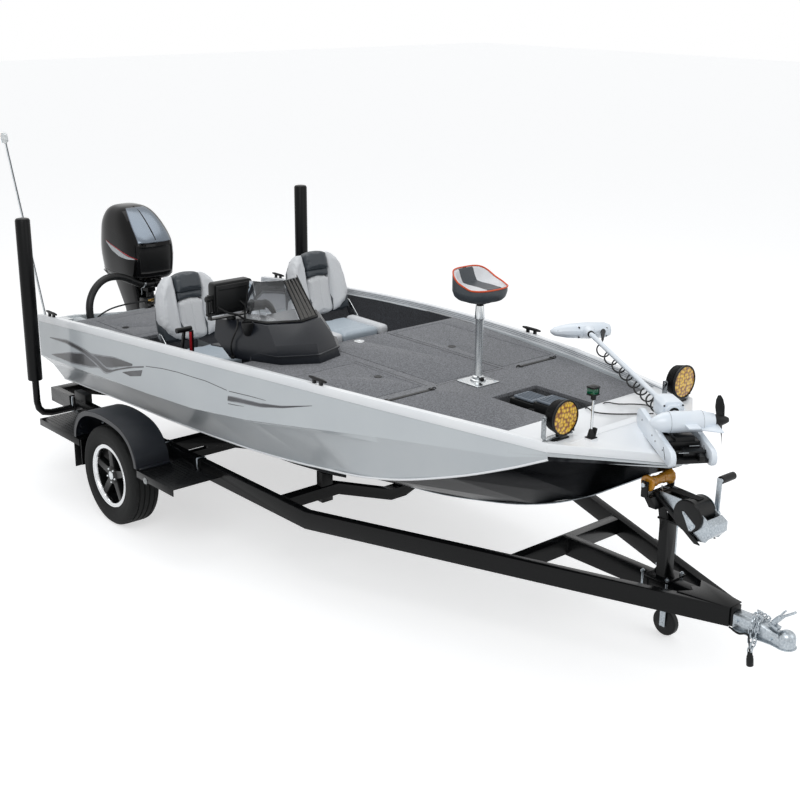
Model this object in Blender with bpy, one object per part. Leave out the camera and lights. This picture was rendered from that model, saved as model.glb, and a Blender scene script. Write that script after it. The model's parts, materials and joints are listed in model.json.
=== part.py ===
# A bass boat on its single-axle trailer. X runs to the bow, Y to port, Z up, in metres.
# Lengths along X are measured from the trailer's axle, and the root empty centres the whole.
import math

import bmesh
import bpy
from mathutils import Matrix, Vector

for old in list(bpy.data.objects):
    bpy.data.objects.remove(old, do_unlink=True)

# Driving dimensions
FIT = 0.0003            # between pieces that rest on each other
RUN = 0.0008            # round a turning shaft
CENTRE_X = 1.1965       # middle of the whole, from the axle

TYRE_R = 0.330
TYRE_W = 0.205
BEAD_R = 0.1905
FLANGE_R = 0.209
TRACK_Y = 1.1045        # middle of a tyre
AXLE_Z = 0.331
SPINDLE_R = 0.020

RAIL_W = 0.050
RAIL_H = 0.1016
RAIL_TOP = 0.547
RAIL_OUT = 0.896
RAIL_AFT = -1.36
BEND_X = 1.71
TONGUE_X = 3.963
TONGUE_HALF = 0.030
COUPLER_X = 3.98
POST_X = 3.535
POLE_X = -1.04
POLE_Y = 1.16

GUNWALE_H = 0.045
GUNWALE_W = 0.045
WALL = 0.050
STERN_X = -1.296
NOSE_X = 3.643
NOSE_Z = 1.217
CORNER_X = 3.2156
DECK_Z = 1.245
DECK_T = 0.020
DECK_AFT = 1.0
DECK_FORE = 2.945
AFT_DECK_Z = 1.070
AFT_DECK_X = (-1.13, -0.45)
FLOOR_Z = 0.700
TRANSOM_T = 0.036
TRANSOM_Z = 1.030

PEDESTAL_X = 2.159
STEER_X = -1.42
TILT_X = -1.33
TILT_Z = 1.070
PROP_Z = 0.270
WHEEL_X = 0.69
SEAT_Y = 0.525
HINGE_X = 0.015
HINGE_Z = 1.190

# The hull's sections: x, half beam, sheer, keel, chine half beam, chine height, lower and upper crease
SECTIONS = [
    (STERN_X, 0.987, 1.119, 0.400, 0.810, 0.615, 0.732, 0.820),
    (-0.80, 1.006, 1.168, 0.402, 0.810, 0.638, 0.785, 0.850),
    (-0.30, 1.012, 1.210, 0.404, 0.810, 0.660, 0.820, 0.880),
    (0.20, 1.002, 1.244, 0.406, 0.810, 0.677, 0.850, 0.900),
    (0.70, 0.977, 1.271, 0.410, 0.805, 0.700, 0.880, 0.920),
    (1.20, 0.934, 1.291, 0.424, 0.795, 0.733, 0.935, 0.970),
    (1.70, 0.873, 1.304, 0.456, 0.785, 0.790, 1.010, 1.040),
    (2.20, 0.793, 1.309, 0.543, 0.760, 0.865, 1.070, 1.105),
    (2.65, 0.700, 1.307, 0.660, 0.690, 0.990, 1.125, 1.150),
    (3.00, 0.619, 1.302, 0.812, 0.612, 1.120, 1.180, 1.200),
    (CORNER_X, 0.566, 1.297, 0.940, 0.555, 1.215, 1.230, 1.240),
    (3.40, 0.330, 1.261, 1.055, 0.322, 1.196, 1.205, 1.210),
    (3.58, 0.086, 1.228, 1.150, 0.082, 1.168, 1.172, 1.176),
]


def along(column, x):
    """A column of SECTIONS at x, straight between sections."""
    for low, high in zip(SECTIONS, SECTIONS[1:]):
        if x <= high[0]:
            break
    share = (x - low[0]) / (high[0] - low[0])
    return low[column] + share * (high[column] - low[column])


def beam(x):
    return along(1, x)


def sheer(x):
    return along(2, x)


def stations(start, end):
    inner = [row[0] for row in SECTIONS if start < row[0] < end]
    return [start, *inner, end]


# Materials: name, sRGB colour, roughness, metallic
FINISHES = {
    "black_paint": ("17181a", 0.25, 0.0),
    "zinc": ("b9bcbe", 0.35, 1.0),
    "polished": ("d8dadb", 0.12, 1.0),
    "tyre": ("1b1c1d", 0.85, 0.0),
    "black_plastic": ("151617", 0.55, 0.0),
    "hull_paint": ("e9eaec", 0.28, 0.0),
    "white_trim": ("eceded", 0.35, 0.0),
    "carpet": ("85878a", 0.95, 0.0),
    "bunk_carpet": ("2b2c2e", 0.95, 0.0),
    "seat_vinyl": ("c9cbcd", 0.50, 0.0),
    "smoked": ("1e2022", 0.10, 0.0),
    "gloss_black": ("0d0e0f", 0.12, 0.0),
    "amber": ("c8751d", 0.40, 0.0),
    "stainless": ("c9ccce", 0.22, 1.0),
}


def linear(text):
    parts = [int(text[i : i + 2], 16) / 255 for i in (0, 2, 4)]
    return [p / 12.92 if p <= 0.04045 else ((p + 0.055) / 1.055) ** 2.4 for p in parts]


MATERIALS = {}
for finish, (colour, roughness, metallic) in FINISHES.items():
    made = bpy.data.materials.new(finish)
    made.use_nodes = True
    shader = made.node_tree.nodes["Principled BSDF"]
    shader.inputs["Base Color"].default_value = (*linear(colour), 1)
    shader.inputs["Roughness"].default_value = roughness
    shader.inputs["Metallic"].default_value = metallic
    MATERIALS[finish] = made

root = bpy.data.objects.new("boat_and_trailer", None)
root.location = (-CENTRE_X, 0, 0)
bpy.context.scene.collection.objects.link(root)


def bend(face):
    """How far a quad's last corner stands off the plane of the others."""
    a, b, c, d = (v.co for v in face.verts)
    normal = (b - a).cross(c - a)
    return abs((d - a).dot(normal.normalized()))


# Shapes: each returns a closed mesh
def solid(points, faces, smooth=False):
    mesh = bpy.data.meshes.new("shape")
    mesh.from_pydata([tuple(p) for p in points], [], faces)
    work = bmesh.new()
    work.from_mesh(mesh)
    bmesh.ops.remove_doubles(work, verts=work.verts, dist=1e-6)
    bmesh.ops.recalc_face_normals(work, faces=work.faces)
    bent = [face for face in work.faces if len(face.verts) == 4 and bend(face) > 1e-6]
    bmesh.ops.triangulate(work, faces=bent, quad_method="SHORT_EDGE")
    for face in work.faces:
        face.smooth = smooth
    work.to_mesh(mesh)
    work.free()
    return mesh


def loft(rings, smooth=False, closed=False):
    """Skins rings of equal count. closed joins the last to the first; else both ends are capped."""
    count = len(rings[0])
    points = [p for ring in rings for p in ring]
    faces = []
    for i in range(len(rings) if closed else len(rings) - 1):
        a = i * count
        b = (i + 1) % len(rings) * count
        faces += [(a + j, a + (j + 1) % count, b + (j + 1) % count, b + j) for j in range(count)]
    if not closed:
        last = (len(rings) - 1) * count
        faces += [tuple(range(count))[::-1], tuple(range(last, last + count))]
    return solid(points, faces, smooth)


def block(x, y, z):
    corners = [(x[0], y[0]), (x[1], y[0]), (x[1], y[1]), (x[0], y[1])]
    return prism(corners, "z", *z)


def prism(outline, axis, low, high, smooth=False):
    """Extrudes an outline of (y, z), (x, z) or (x, y) points along axis."""
    place = {
        "x": lambda p, d: (d, p[0], p[1]),
        "y": lambda p, d: (p[0], d, p[1]),
        "z": lambda p, d: (p[0], p[1], d),
    }[axis]
    return loft([[place(p, d) for p in outline] for d in (low, high)], smooth)


def circle(centre, normal, radius, sides, start=0.0):
    turn = Vector(normal).to_track_quat("Z", "Y")
    angles = [start + math.tau * i / sides for i in range(sides)]
    return [Vector(centre) + turn @ Vector((radius * math.cos(a), radius * math.sin(a), 0)) for a in angles]


def rod(start, end, radius, sides=12, end_radius=None):
    line = Vector(end) - Vector(start)
    radii = (radius, radius if end_radius is None else end_radius)
    return loft([circle(p, line, r, sides) for p, r in zip((start, end), radii)], True)


def spindle(start, end, profile, sides=16):
    """A solid of revolution on the line start to end. profile holds (distance along, radius)."""
    line = (Vector(end) - Vector(start)).normalized()
    return loft([circle(Vector(start) + line * d, line, r, sides) for d, r in profile], True)


def revolved(centre, axis, profile, sides):
    """A closed ring of (distance along, radius) points turned about an axis."""
    axis = Vector(axis)
    turn = axis.to_track_quat("Z", "Y")
    rings = []
    for i in range(sides):
        a = math.tau * i / sides
        out = turn @ Vector((math.cos(a), math.sin(a), 0))
        rings.append([Vector(centre) + axis * d + out * r for d, r in profile])
    return loft(rings, True, closed=True)


def pipe(route, radius, sides=10):
    route = [Vector(p) for p in route]
    rings = []
    frame = circle((0, 0, 0), route[1] - route[0], radius, sides)
    way = (route[1] - route[0]).normalized()
    for i, p in enumerate(route):
        before = (p - route[i - 1]).normalized() if i else way
        after = (route[i + 1] - p).normalized() if i + 1 < len(route) else before
        middle = (before + after).normalized()
        turn = way.rotation_difference(middle)
        frame = [turn @ v for v in frame]
        way = middle
        rings.append([p + v for v in frame])
    return loft(rings, True)


def bar(start, end, width, height, up=(0, 0, 1)):
    """A rectangular bar from start to end, width across and height along up."""
    start, end = Vector(start), Vector(end)
    across = (end - start).cross(Vector(up)).normalized() * width / 2
    rise = across.cross(end - start).normalized() * height / 2
    corners = (across + rise, across - rise, -across - rise, rise - across)
    return loft([[p + c for c in corners] for p in (start, end)])


def rounded(x, y, radius, steps=3):
    """A rectangle's outline with its four corners as arcs."""
    outline = []
    for cx, cy, a in ((x[1], y[1], 0), (x[0], y[1], 90), (x[0], y[0], 180), (x[1], y[0], 270)):
        cx += -radius if a in (0, 270) else radius
        cy += -radius if a in (0, 90) else radius
        for i in range(steps + 1):
            t = math.radians(a + 90 * i / steps)
            outline.append((cx + radius * math.cos(t), cy + radius * math.sin(t)))
    return outline


def node(name, finish, steps, at=(0, 0, 0)):
    """One sub-part: a first shape, then lists of shapes joined to it or cut from it, in turn."""
    shift = Matrix.Translation(-Vector(at))

    def placed(label, mesh):
        mesh.transform(shift)
        mesh.name = label
        obj = bpy.data.objects.new(label, mesh)
        obj.location = at
        obj.parent = root
        return obj

    obj = placed(name, steps[0])
    bpy.context.scene.collection.objects.link(obj)
    obj.data.materials.append(MATERIALS[finish])
    for number, (operation, shapes) in enumerate(steps[1:], 1):
        group = bpy.data.collections.new(f"{name}_{operation}_{number}")
        bpy.context.scene.collection.children.link(group)
        for index, mesh in enumerate(shapes, 1):
            helper = placed(f"{name}_{operation}_{number}_{index}", mesh)
            helper.hide_render = True
            helper.display_type = "WIRE"
            helper.data.materials.append(MATERIALS[finish])
            group.objects.link(helper)
        boolean = obj.modifiers.new(f"{operation}_{number}", "BOOLEAN")
        boolean.operation = {"join": "UNION", "cut": "DIFFERENCE"}[operation]
        boolean.operand_type = "COLLECTION"
        boolean.collection = group
        boolean.solver = "EXACT"
    return obj


SIDES = (("port", 1), ("starboard", -1))


def span(side, low, high):
    """A pair of Y values on one side, lowest first."""
    return tuple(sorted((side * low, side * high)))


# Trailer frame
A_BEAM = Vector((TONGUE_X - BEND_X, 0.043 - RAIL_OUT, 0)).normalized()
A_SLOPE = A_BEAM.y / A_BEAM.x
INNER_BEND_X = BEND_X - RAIL_W * math.tan(math.atan2(-A_BEAM.y, A_BEAM.x) / 2)
RAIL_IN = RAIL_OUT - RAIL_W
RAIL_BOTTOM = RAIL_TOP - RAIL_H


def a_beam_inner(x):
    return RAIL_IN + A_SLOPE * (x - INNER_BEND_X)


# The jack's place, outside the port beam of the A-frame
JACK_X = 3.28
JACK_TILT = math.atan2(A_BEAM.y, A_BEAM.x)
JACK_NORMAL = Vector((-A_BEAM.y, A_BEAM.x, 0))
JACK_FOOT = Vector((JACK_X, RAIL_OUT + A_SLOPE * (JACK_X - BEND_X), 0))
JACK_OFF = 0.062
JACK_WHEEL_R = 0.076
JACK_PIVOT_Z = 0.500


def by_jack(along_beam, off, z):
    """A point by the jack: along the beam, off its outer face, and up."""
    p = JACK_FOOT + A_BEAM * along_beam + JACK_NORMAL * off
    return (p.x, p.y, z)


bracket_bolts = [bar(by_jack(-0.075, 0.002, 0.4962), by_jack(0.075, 0.002, 0.4962), 0.012, 0.100)]
for offset in (-0.055, 0.055):
    bracket_bolts.append(rod(by_jack(offset, 0.005, 0.530), by_jack(offset, 0.020, 0.530), 0.009, 6))
    bracket_bolts.append(rod(by_jack(offset, 0.005, 0.462), by_jack(offset, 0.020, 0.462), 0.009, 6))
bracket_bolts.append(rod(by_jack(0, 0.005, JACK_PIVOT_Z), by_jack(0, 0.0247, JACK_PIVOT_Z), 0.022, 16))


# Steps: aft end, fore end. U-bolts: x of each
STEPS = ((-0.88, -0.32), (0.42, 0.84))
U_BOLTS = (-1.03, -0.61, 0.22, 0.60)
STEP_OUT = 1.225
STEP_TOP = 0.500

for label, side in SIDES:
    outline = [
        (RAIL_AFT, RAIL_OUT),
        (BEND_X, RAIL_OUT),
        (TONGUE_X, 0.043),
        (TONGUE_X, TONGUE_HALF + FIT),
        (INNER_BEND_X + (TONGUE_HALF + FIT - RAIL_IN) / A_SLOPE, TONGUE_HALF + FIT),
        (INNER_BEND_X, RAIL_IN),
        (RAIL_AFT, RAIL_IN),
    ]
    extras = []
    for aft, fore in STEPS:
        y = span(side, RAIL_OUT - 0.01, STEP_OUT)
        extras.append(block((aft, fore), y, (STEP_TOP - 0.006, STEP_TOP)))
        lip = span(side, STEP_OUT - 0.006, STEP_OUT)
        extras.append(block((aft, fore), lip, (STEP_TOP - 0.045, STEP_TOP - 0.003)))
        for x in (aft + 0.10, fore - 0.10):
            gusset = [
                (side * (RAIL_OUT - 0.01), RAIL_BOTTOM + 0.006),
                (side * (RAIL_OUT - 0.01), STEP_TOP - 0.003),
                (side * (STEP_OUT - 0.003), STEP_TOP - 0.003),
                (side * (STEP_OUT - 0.003), STEP_TOP - 0.035),
            ]
            extras.append(prism(gusset, "x", x, x + 0.006))
    mud_flap = block((-0.372, -0.364), span(side, 1.00, 1.19), (0.300, STEP_TOP - 0.002))
    extras.append(mud_flap)
    for x in U_BOLTS:
        strap = span(side, RAIL_IN + 0.004, RAIL_OUT + 0.009)
        extras.append(block((x - 0.035, x - 0.025), strap, (RAIL_BOTTOM + 0.01, RAIL_TOP + 0.008)))
        extras.append(block((x + 0.025, x + 0.035), strap, (RAIL_BOTTOM + 0.01, RAIL_TOP + 0.008)))
    pole = [(POLE_X, side * 0.880, 0.470), (POLE_X, side * 1.06, 0.470), (POLE_X, side * 1.12, 0.485)]
    pole += [(POLE_X, side * 1.15, 0.520), (POLE_X, side * POLE_Y, 0.570), (POLE_X, side * POLE_Y, 0.7297)]
    extras.append(pipe(pole, 0.024))
    if label == "port":
        extras += bracket_bolts
    rail = prism([(x, side * y) for x, y in outline], "z", RAIL_BOTTOM, RAIL_TOP)
    node(f"frame_rail_{label}", "black_paint", [rail, ("join", extras)])

    bottom, top = (POLE_X, side * POLE_Y, 0.73), (POLE_X, side * POLE_Y, 1.86)
    cap = [(0, 0.046), (0.004, 0.050), (1.115, 0.050), (1.127, 0.044), (1.13, 0.030)]
    node(f"guide_pole_cover_{label}", "black_plastic", [spindle(bottom, top, cap)])

cross = [(2.85, a_beam_inner(2.85) - FIT), (2.91, a_beam_inner(2.91) - FIT)]
cross += [(x, -y) for x, y in reversed(cross)]
tongue = block((2.86, COUPLER_X - FIT), (-TONGUE_HALF, TONGUE_HALF), (RAIL_BOTTOM, RAIL_TOP))
node("tongue", "black_paint", [tongue, ("join", [prism(cross, "z", RAIL_BOTTOM + 0.01, RAIL_TOP - 0.002)])])

# Crossmembers: name, x, half width where the drop starts, top at the centre
CROSSMEMBERS = (
    ("crossmember_aft", -1.36, 0.70, 0.365),
    ("crossmember_middle", 0.18, 0.60, 0.372),
    ("crossmember_forward", 1.41, 0.475, 0.400),
)
CROSS_W = 0.076
CROSS_H = 0.070
BUNK_Y = 0.55
BUNK_W = 0.09
BUNK_T = 0.038


def bottom_z(x, y):
    """The hull's underside between keel and chine."""
    return along(3, x) + (along(5, x) - along(3, x)) * abs(y) / along(4, x)


for name, x, drop_y, centre_z in CROSSMEMBERS:
    edge = RAIL_IN - FIT
    top = [(edge, RAIL_TOP), (drop_y, RAIL_TOP), (0.06, centre_z)]
    half = top + [(-y, z) for y, z in reversed(top)]
    outline = half + [(y, z - CROSS_H) for y, z in reversed(half)]
    shoes = []
    shoe_y = (BUNK_Y - 0.04, BUNK_Y + 0.04)
    seats = [min(bottom_z(x + 0.01, y), bottom_z(x + CROSS_W - 0.01, y)) - BUNK_T - 2 * FIT for y in shoe_y]
    for side in (1, -1):
        shoe = [
            (side * shoe_y[0], RAIL_TOP - 0.10),
            (side * shoe_y[0], seats[0]),
            (side * shoe_y[1], seats[1]),
            (side * shoe_y[1], RAIL_TOP - 0.10),
        ]
        shoes.append(prism(shoe, "x", x + 0.01, x + CROSS_W - 0.01))
    node(name, "black_paint", [prism(outline, "x", x, x + CROSS_W), ("join", shoes)])


def hull_skin(drop=0.0):
    """The hull's outside, lowered by drop, which the bunks are cut with."""
    rings = []
    for x, half, top, keel, chine_y, chine_z, lower, upper in SECTIONS:
        flat_y = chine_y - 0.035
        side = [
            (half - 0.004, top - GUNWALE_H - FIT),
            (half - 0.006, upper),
            (chine_y + 0.45 * (half - chine_y), lower),
            (chine_y, chine_z - 0.008),
            (flat_y, keel + (chine_z - keel) * flat_y / chine_y),
            (0.010, keel),
        ]
        ring = side + [(-y, z) for y, z in reversed(side)]
        rings.append([(x, y, z - drop) for y, z in ring])
    return loft(rings)


for label, side in SIDES:
    rings = []
    for x in stations(-1.25, 1.60):
        ring = []
        for dy, dz in ((-1, 0.02), (1, 0.02), (1, -BUNK_T), (-1, -BUNK_T)):
            y = BUNK_Y + dy * BUNK_W / 2
            ring.append((x, side * y, bottom_z(x, y) + dz))
        rings.append(ring)
    node(f"bunk_{label}", "bunk_carpet", [loft(rings), ("cut", [hull_skin(FIT)])])

# Axle with its leaf springs and hangers
axle = [
    rod((0, -TRACK_Y - 0.055, AXLE_Z), (0, TRACK_Y + 0.055, AXLE_Z), SPINDLE_R, 16),
]
for side in (1, -1):
    y = span(side, 0.849, 0.893)
    spring = [(-0.34, 0.415), (-0.15, 0.378), (0, 0.366), (0.15, 0.378), (0.34, 0.415)]
    outline = spring + [(x, z + 0.012) for x, z in reversed(spring)]
    axle.append(prism(outline, "y", *y))
    leaf = [(-0.20, 0.362), (0, 0.352), (0.20, 0.362), (0.20, 0.390), (-0.20, 0.390)]
    axle.append(prism(leaf, "y", *y))
    for x in (-0.34, 0.34):
        axle.append(block((x - 0.02, x + 0.02), y, (0.400, RAIL_BOTTOM - FIT)))
beam_tube = block((-0.025, 0.025), (-0.955, 0.955), (AXLE_Z - 0.025, AXLE_Z + 0.025))
node("axle", "black_paint", [beam_tube, ("join", axle)])

# Wheels
for label, side in SIDES:
    hub = (0, side * TRACK_Y, AXLE_Z)
    out = (0, side, 0)
    tread = [
        (-0.079, BEAD_R + 0.001), (-0.079, 0.210), (-0.091, 0.216), (-0.1025, 0.262), (-0.094, 0.312),
        (-0.075, 0.327), (-0.030, TYRE_R), (0.030, TYRE_R), (0.075, 0.327),
        (0.094, 0.312), (0.1025, 0.262), (0.091, 0.216), (0.079, 0.210), (0.079, BEAD_R + 0.001),
    ]
    tyre = revolved(hub, out, tread, 40)
    node(f"tyre_{label}", "tyre", [tyre], hub)
    barrel = [
        (-0.088, FLANGE_R), (-0.082, FLANGE_R), (-0.0803, BEAD_R), (0.0803, BEAD_R), (0.082, FLANGE_R),
        (0.088, FLANGE_R), (0.086, BEAD_R - 0.006), (0.060, BEAD_R - 0.012), (-0.086, BEAD_R - 0.008),
    ]
    pieces = []
    for i in range(5):
        turn = Matrix.Rotation(math.tau * i / 5, 4, "Y")
        rings = []
        for r, half, low, high in ((0.036, 0.034, 0.021, 0.061), (0.1835, 0.023, 0.031, 0.0735)):
            corners = ((-half, low), (-half * 0.8, high), (half * 0.8, high), (half, low))
            rings.append([Vector(hub) + turn @ Vector((w, side * d, r)) for w, d in corners])
        pieces.append(loft(rings))
    hub_start = (0, side * (TRACK_Y - 0.050), AXLE_Z)
    hub_end = (0, side * (TRACK_Y + 0.075), AXLE_Z)
    pieces.append(
        spindle(hub_start, hub_end, [(0, 0.055), (0.06, 0.064), (0.115, 0.060), (0.125, 0.040)], 24)
    )
    bore_end = (0, side * (TRACK_Y + 0.058), AXLE_Z)
    bore = rod((0, side * (TRACK_Y - 0.06), AXLE_Z), bore_end, SPINDLE_R + RUN, 16)
    rim = revolved(hub, out, barrel, 40)
    node(f"rim_{label}", "black_paint", [rim, ("join", pieces), ("cut", [bore])], hub)

    arch = [(-0.395, 0.503), (-0.375, 0.580), (-0.310, 0.670), (-0.200, 0.730), (0.0, 0.750)]
    arch += [(0.210, 0.730), (0.325, 0.670), (0.390, 0.580), (0.415, 0.503)]

    def inset(depth):
        return [(x * (1 - depth / 0.41), 0.503 + (z - 0.503) * (1 - depth / 0.25)) for x, z in arch]

    top = prism(arch + inset(0.006)[::-1], "y", *span(side, 0.985, 1.222))
    lip = prism(arch + inset(0.034)[::-1], "y", *span(side, 1.216, 1.222))
    foot_aft = block((-0.42, -0.385), span(side, 0.99, 1.20), (STEP_TOP + FIT, 0.510))
    foot_fore = block((0.405, 0.44), span(side, 0.99, 1.20), (STEP_TOP + FIT, 0.510))
    fender_steps = [top, ("join", [lip, foot_aft, foot_fore])]
    node(f"fender_{label}", "black_plastic", fender_steps)

# Tongue fittings
post_steps = [
    block((POST_X - 0.025, POST_X + 0.025), (-0.038, 0.038), (RAIL_TOP + 0.005, 0.870)),
    ("join", [
        block((POST_X - 0.075, POST_X + 0.075), (-0.075, 0.075), (RAIL_TOP + FIT, RAIL_TOP + 0.010)),
        prism([(3.555, 0.56), (3.600, 0.555), (3.555, 0.64)], "y", -0.004, 0.004),
        prism([(3.515, 0.56), (3.470, 0.555), (3.515, 0.64)], "y", -0.004, 0.004),
        block((3.50, 3.80), (-0.045, 0.045), (0.862, 0.872)),
    ]),
]
ROLLER = (3.456, 1.045)
FORK_Z = 0.985
post_arm = [(3.52, 0.80), (3.56, 0.86), (3.53, FORK_Z - 0.005), (3.48, FORK_Z - 0.005), (3.50, 0.90)]
fork_foot = [
    (3.49, 0.935), (3.535, 0.935), (3.50, FORK_Z), (3.436, FORK_Z), (3.436, FORK_Z - 0.010),
    (3.46, FORK_Z - 0.010),
]
fork_x = (ROLLER[0] - 0.02, ROLLER[0] + 0.02)
for side in (1, -1):
    post_steps[1][1].append(prism(post_arm, "y", *span(side, 0.0325, 0.0405)))
    post_steps[1][1].append(block(fork_x, span(side, 0.100, 0.108), (FORK_Z - 0.008, ROLLER[1] + 0.016)))
post_steps[1][1].append(prism(fork_foot, "y", -0.108, 0.108))
post_steps[1][1].append(rod((ROLLER[0], -0.115, ROLLER[1]), (ROLLER[0], 0.115, ROLLER[1]), 0.008, 12))
node("winch_post", "black_paint", post_steps)

waist = [(-0.090, 0.042), (-0.070, 0.042), (-0.025, 0.029), (0.025, 0.029), (0.070, 0.042), (0.090, 0.042)]
bore = 0.008 + RUN
spool = waist + [(0.090, bore), (-0.090, bore)]
roller_at = (ROLLER[0], 0, ROLLER[1])
node("bow_roller", "amber", [revolved(roller_at, (0, 1, 0), spool, 24)], roller_at)

CRANK = (3.750, 0.930)
case = [
    (3.62, 0.8723), (3.81, 0.8723), (3.84, 0.920), (3.815, 0.975), (3.74, 0.998), (3.655, 0.970),
    (3.615, 0.915),
]
drum = rod((3.70, -0.058, 0.930), (3.70, 0.058, 0.930), 0.050, 16)
stub = rod((CRANK[0], 0.03, CRANK[1]), (CRANK[0], 0.104, CRANK[1]), 0.009, 12)
strap = bar((3.655, 0, 0.955), (3.60, 0, 1.02), 0.050, 0.004)
node("winch", "black_plastic", [prism(case, "y", -0.046, 0.046), ("join", [drum, stub, strap])])
crank_at = (CRANK[0], 0.09, CRANK[1])
arm = bar(
    (CRANK[0], 0.09, CRANK[1] - 0.02), (CRANK[0] + 0.004, 0.09, CRANK[1] + 0.185), 0.008, 0.026, (1, 0, 0)
)
boss = rod((CRANK[0], 0.072, CRANK[1]), (CRANK[0], 0.1, CRANK[1]), 0.019, 16)
grip_z = CRANK[1] + 0.172
grip_start, grip_end = (CRANK[0] + 0.004, 0.088, grip_z), (CRANK[0] + 0.004, 0.205, grip_z)
grip = spindle(
    grip_start, grip_end, [(0, 0.008), (0.012, 0.013), (0.06, 0.015), (0.11, 0.013), (0.117, 0.008)], 12
)
hole = rod((CRANK[0], 0.05, CRANK[1]), (CRANK[0], 0.12, CRANK[1]), 0.009 + RUN, 12)
node("winch_crank", "zinc", [arm, ("join", [boss, grip]), ("cut", [hole])], crank_at)

# Coupler, and its two chains of welded links hanging in a loop
coupler_body = prism(rounded((COUPLER_X, 4.235), (-0.034, 0.034), 0.012), "z", 0.452, 0.520)
ball_cover = spindle(
    (4.262, 0, 0.443), (4.262, 0, 0.532), [(0, 0.040), (0.05, 0.046), (0.078, 0.038), (0.089, 0.018)], 20
)
socket = spindle((4.262, 0, 0.435), (4.262, 0, 0.490), [(0, 0.026), (0.035, 0.027), (0.055, 0.012)], 16)
latch = [
    (4.060, 0.515), (4.200, 0.515), (4.205, 0.560), (4.140, 0.645), (4.118, 0.640), (4.160, 0.565),
    (4.060, 0.545),
]
tab = block((4.005, 4.035), (-0.070, 0.070), (0.470, 0.482))
hook_tab = block((4.150, 4.170), (-0.070, 0.070), (0.470, 0.482))
coupler_join = [ball_cover, prism(latch, "y", -0.012, 0.012), tab, hook_tab]

LINK_R = 0.0045
LINK_W = 0.013
LINK_PITCH = 0.036
for label, side in SIDES:
    y = side * 0.0655
    start, end, sag = Vector((4.020, y, 0.476)), Vector((4.160, y, 0.476)), 0.185
    route = []
    for i in range(201):
        t = i / 200
        p = start.lerp(end, t)
        p.z -= sag * (1 - (2 * t - 1) ** 2)
        route.append(p)
    marks, run = [route[0]], 0.0
    for p, q in zip(route, route[1:]):
        run += (q - p).length
        if run >= LINK_PITCH:
            marks.append(q)
            run = 0.0
    links = []
    for i, (p, q) in enumerate(zip(marks, marks[1:])):
        way = (q - p).normalized()
        wide = Vector((0, 1, 0)) if i % 2 else way.cross(Vector((0, 1, 0)))
        middle, reach = (p + q) / 2, (q - p).length / 2 + LINK_R * 0.8
        loop = []
        for a in range(8):
            angle = math.tau * a / 8
            loop.append(middle + way * reach * math.cos(angle) + wide * LINK_W * 0.8 * math.sin(angle))
        rings = []
        for a, point in enumerate(loop):
            tangent = loop[(a + 1) % 8] - loop[a - 1]
            side_way = tangent.cross(way.cross(wide)).normalized()
            flat = way.cross(wide).normalized()
            rings.append([
                point + (side_way * math.cos(b) + flat * math.sin(b)) * LINK_R
                for b in (0.0, math.tau / 4, math.tau / 2, math.tau * 3 / 4)
            ])
        links.append(loft(rings, True, closed=True))
    coupler_join += links
node("coupler", "zinc", [coupler_body, ("join", coupler_join), ("cut", [socket])])

# Jack, swung down on the port beam
hinge_plate = rod(by_jack(0, 0.0255, JACK_PIVOT_Z), by_jack(0, 0.040, JACK_PIVOT_Z), 0.032, 16)
axle_z = JACK_WHEEL_R
fork = []
for dy in (-0.034, 0.028):
    x, y = by_jack(0, JACK_OFF, 0)[:2]
    fork.append(block((x - 0.018, x + 0.018), (y + dy, y + dy + 0.006), (axle_z - 0.018, 0.176)))
fork.append(block((x - 0.022, x + 0.022), (y - 0.034, y + 0.034), (0.164, 0.176)))
fork.append(rod((x, y - 0.036, axle_z), (x, y + 0.036, axle_z), 0.007, 12))
inner_leg = rod((x, y, 0.170), (x, y, 0.34), 0.0205, 16)
cap_rod = spindle(
    (x, y, 0.640), (x, y, 0.700), [(0, 0.031), (0.012, 0.031), (0.020, 0.010), (0.060, 0.010)], 16
)
jack_arm = bar((x, y, 0.694), (x - 0.10, y + 0.02, 0.694), 0.018, 0.007)
jack_knob = spindle(
    (x - 0.095, y + 0.019, 0.690), (x - 0.095, y + 0.019, 0.760),
    [(0, 0.010), (0.02, 0.014), (0.06, 0.014), (0.07, 0.008)], 12,
)
jack_at = by_jack(0, 0.0305, JACK_PIVOT_Z)
jack_tube = rod((x, y, 0.30), (x, y, 0.642), 0.0265, 20)
node(
    "jack", "zinc", [jack_tube, ("join", [hinge_plate, inner_leg, cap_rod, jack_arm, jack_knob, *fork])],
    jack_at,
)
rim_edge = [
    (-0.020, 0.070), (-0.014, JACK_WHEEL_R), (0.014, JACK_WHEEL_R), (0.020, 0.070), (0.020, 0.030),
    (0.024, 0.022),
]
rim_edge += [(0.024, 0.007 + RUN), (-0.024, 0.007 + RUN), (-0.024, 0.022), (-0.020, 0.030)]
node("jack_wheel", "black_plastic", [revolved((x, y, axle_z), (0, 1, 0), rim_edge, 28)], (x, y, axle_z))
JACK_XY = (x, y)

# Hull: its skin, with the boat's inside cut out
FRONT_LIDS = {
    "front_lid_starboard": ((1.42, 2.01), (-0.735, -0.30)),
    "front_lid_centre": ((1.02, 2.03), (-0.20, 0.285)),
    "front_lid_port": ((1.05, 2.03), (0.325, 0.735)),
}
AFT_LID = ((-1.02, -0.52), (-0.66, -0.16))
TRAY = ((2.41, 2.87), (-0.14, 0.21))
WELL_Y = 0.70
PULL_R = 0.016
deck_under = DECK_Z - DECK_T - FIT
aft_under = AFT_DECK_Z - DECK_T - FIT


def deck_outline(start, end, gap):
    edge = [(x, beam(x) - WALL - gap) for x in stations(start, end)]
    return edge + [(x, -y) for x, y in reversed(edge)]


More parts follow.
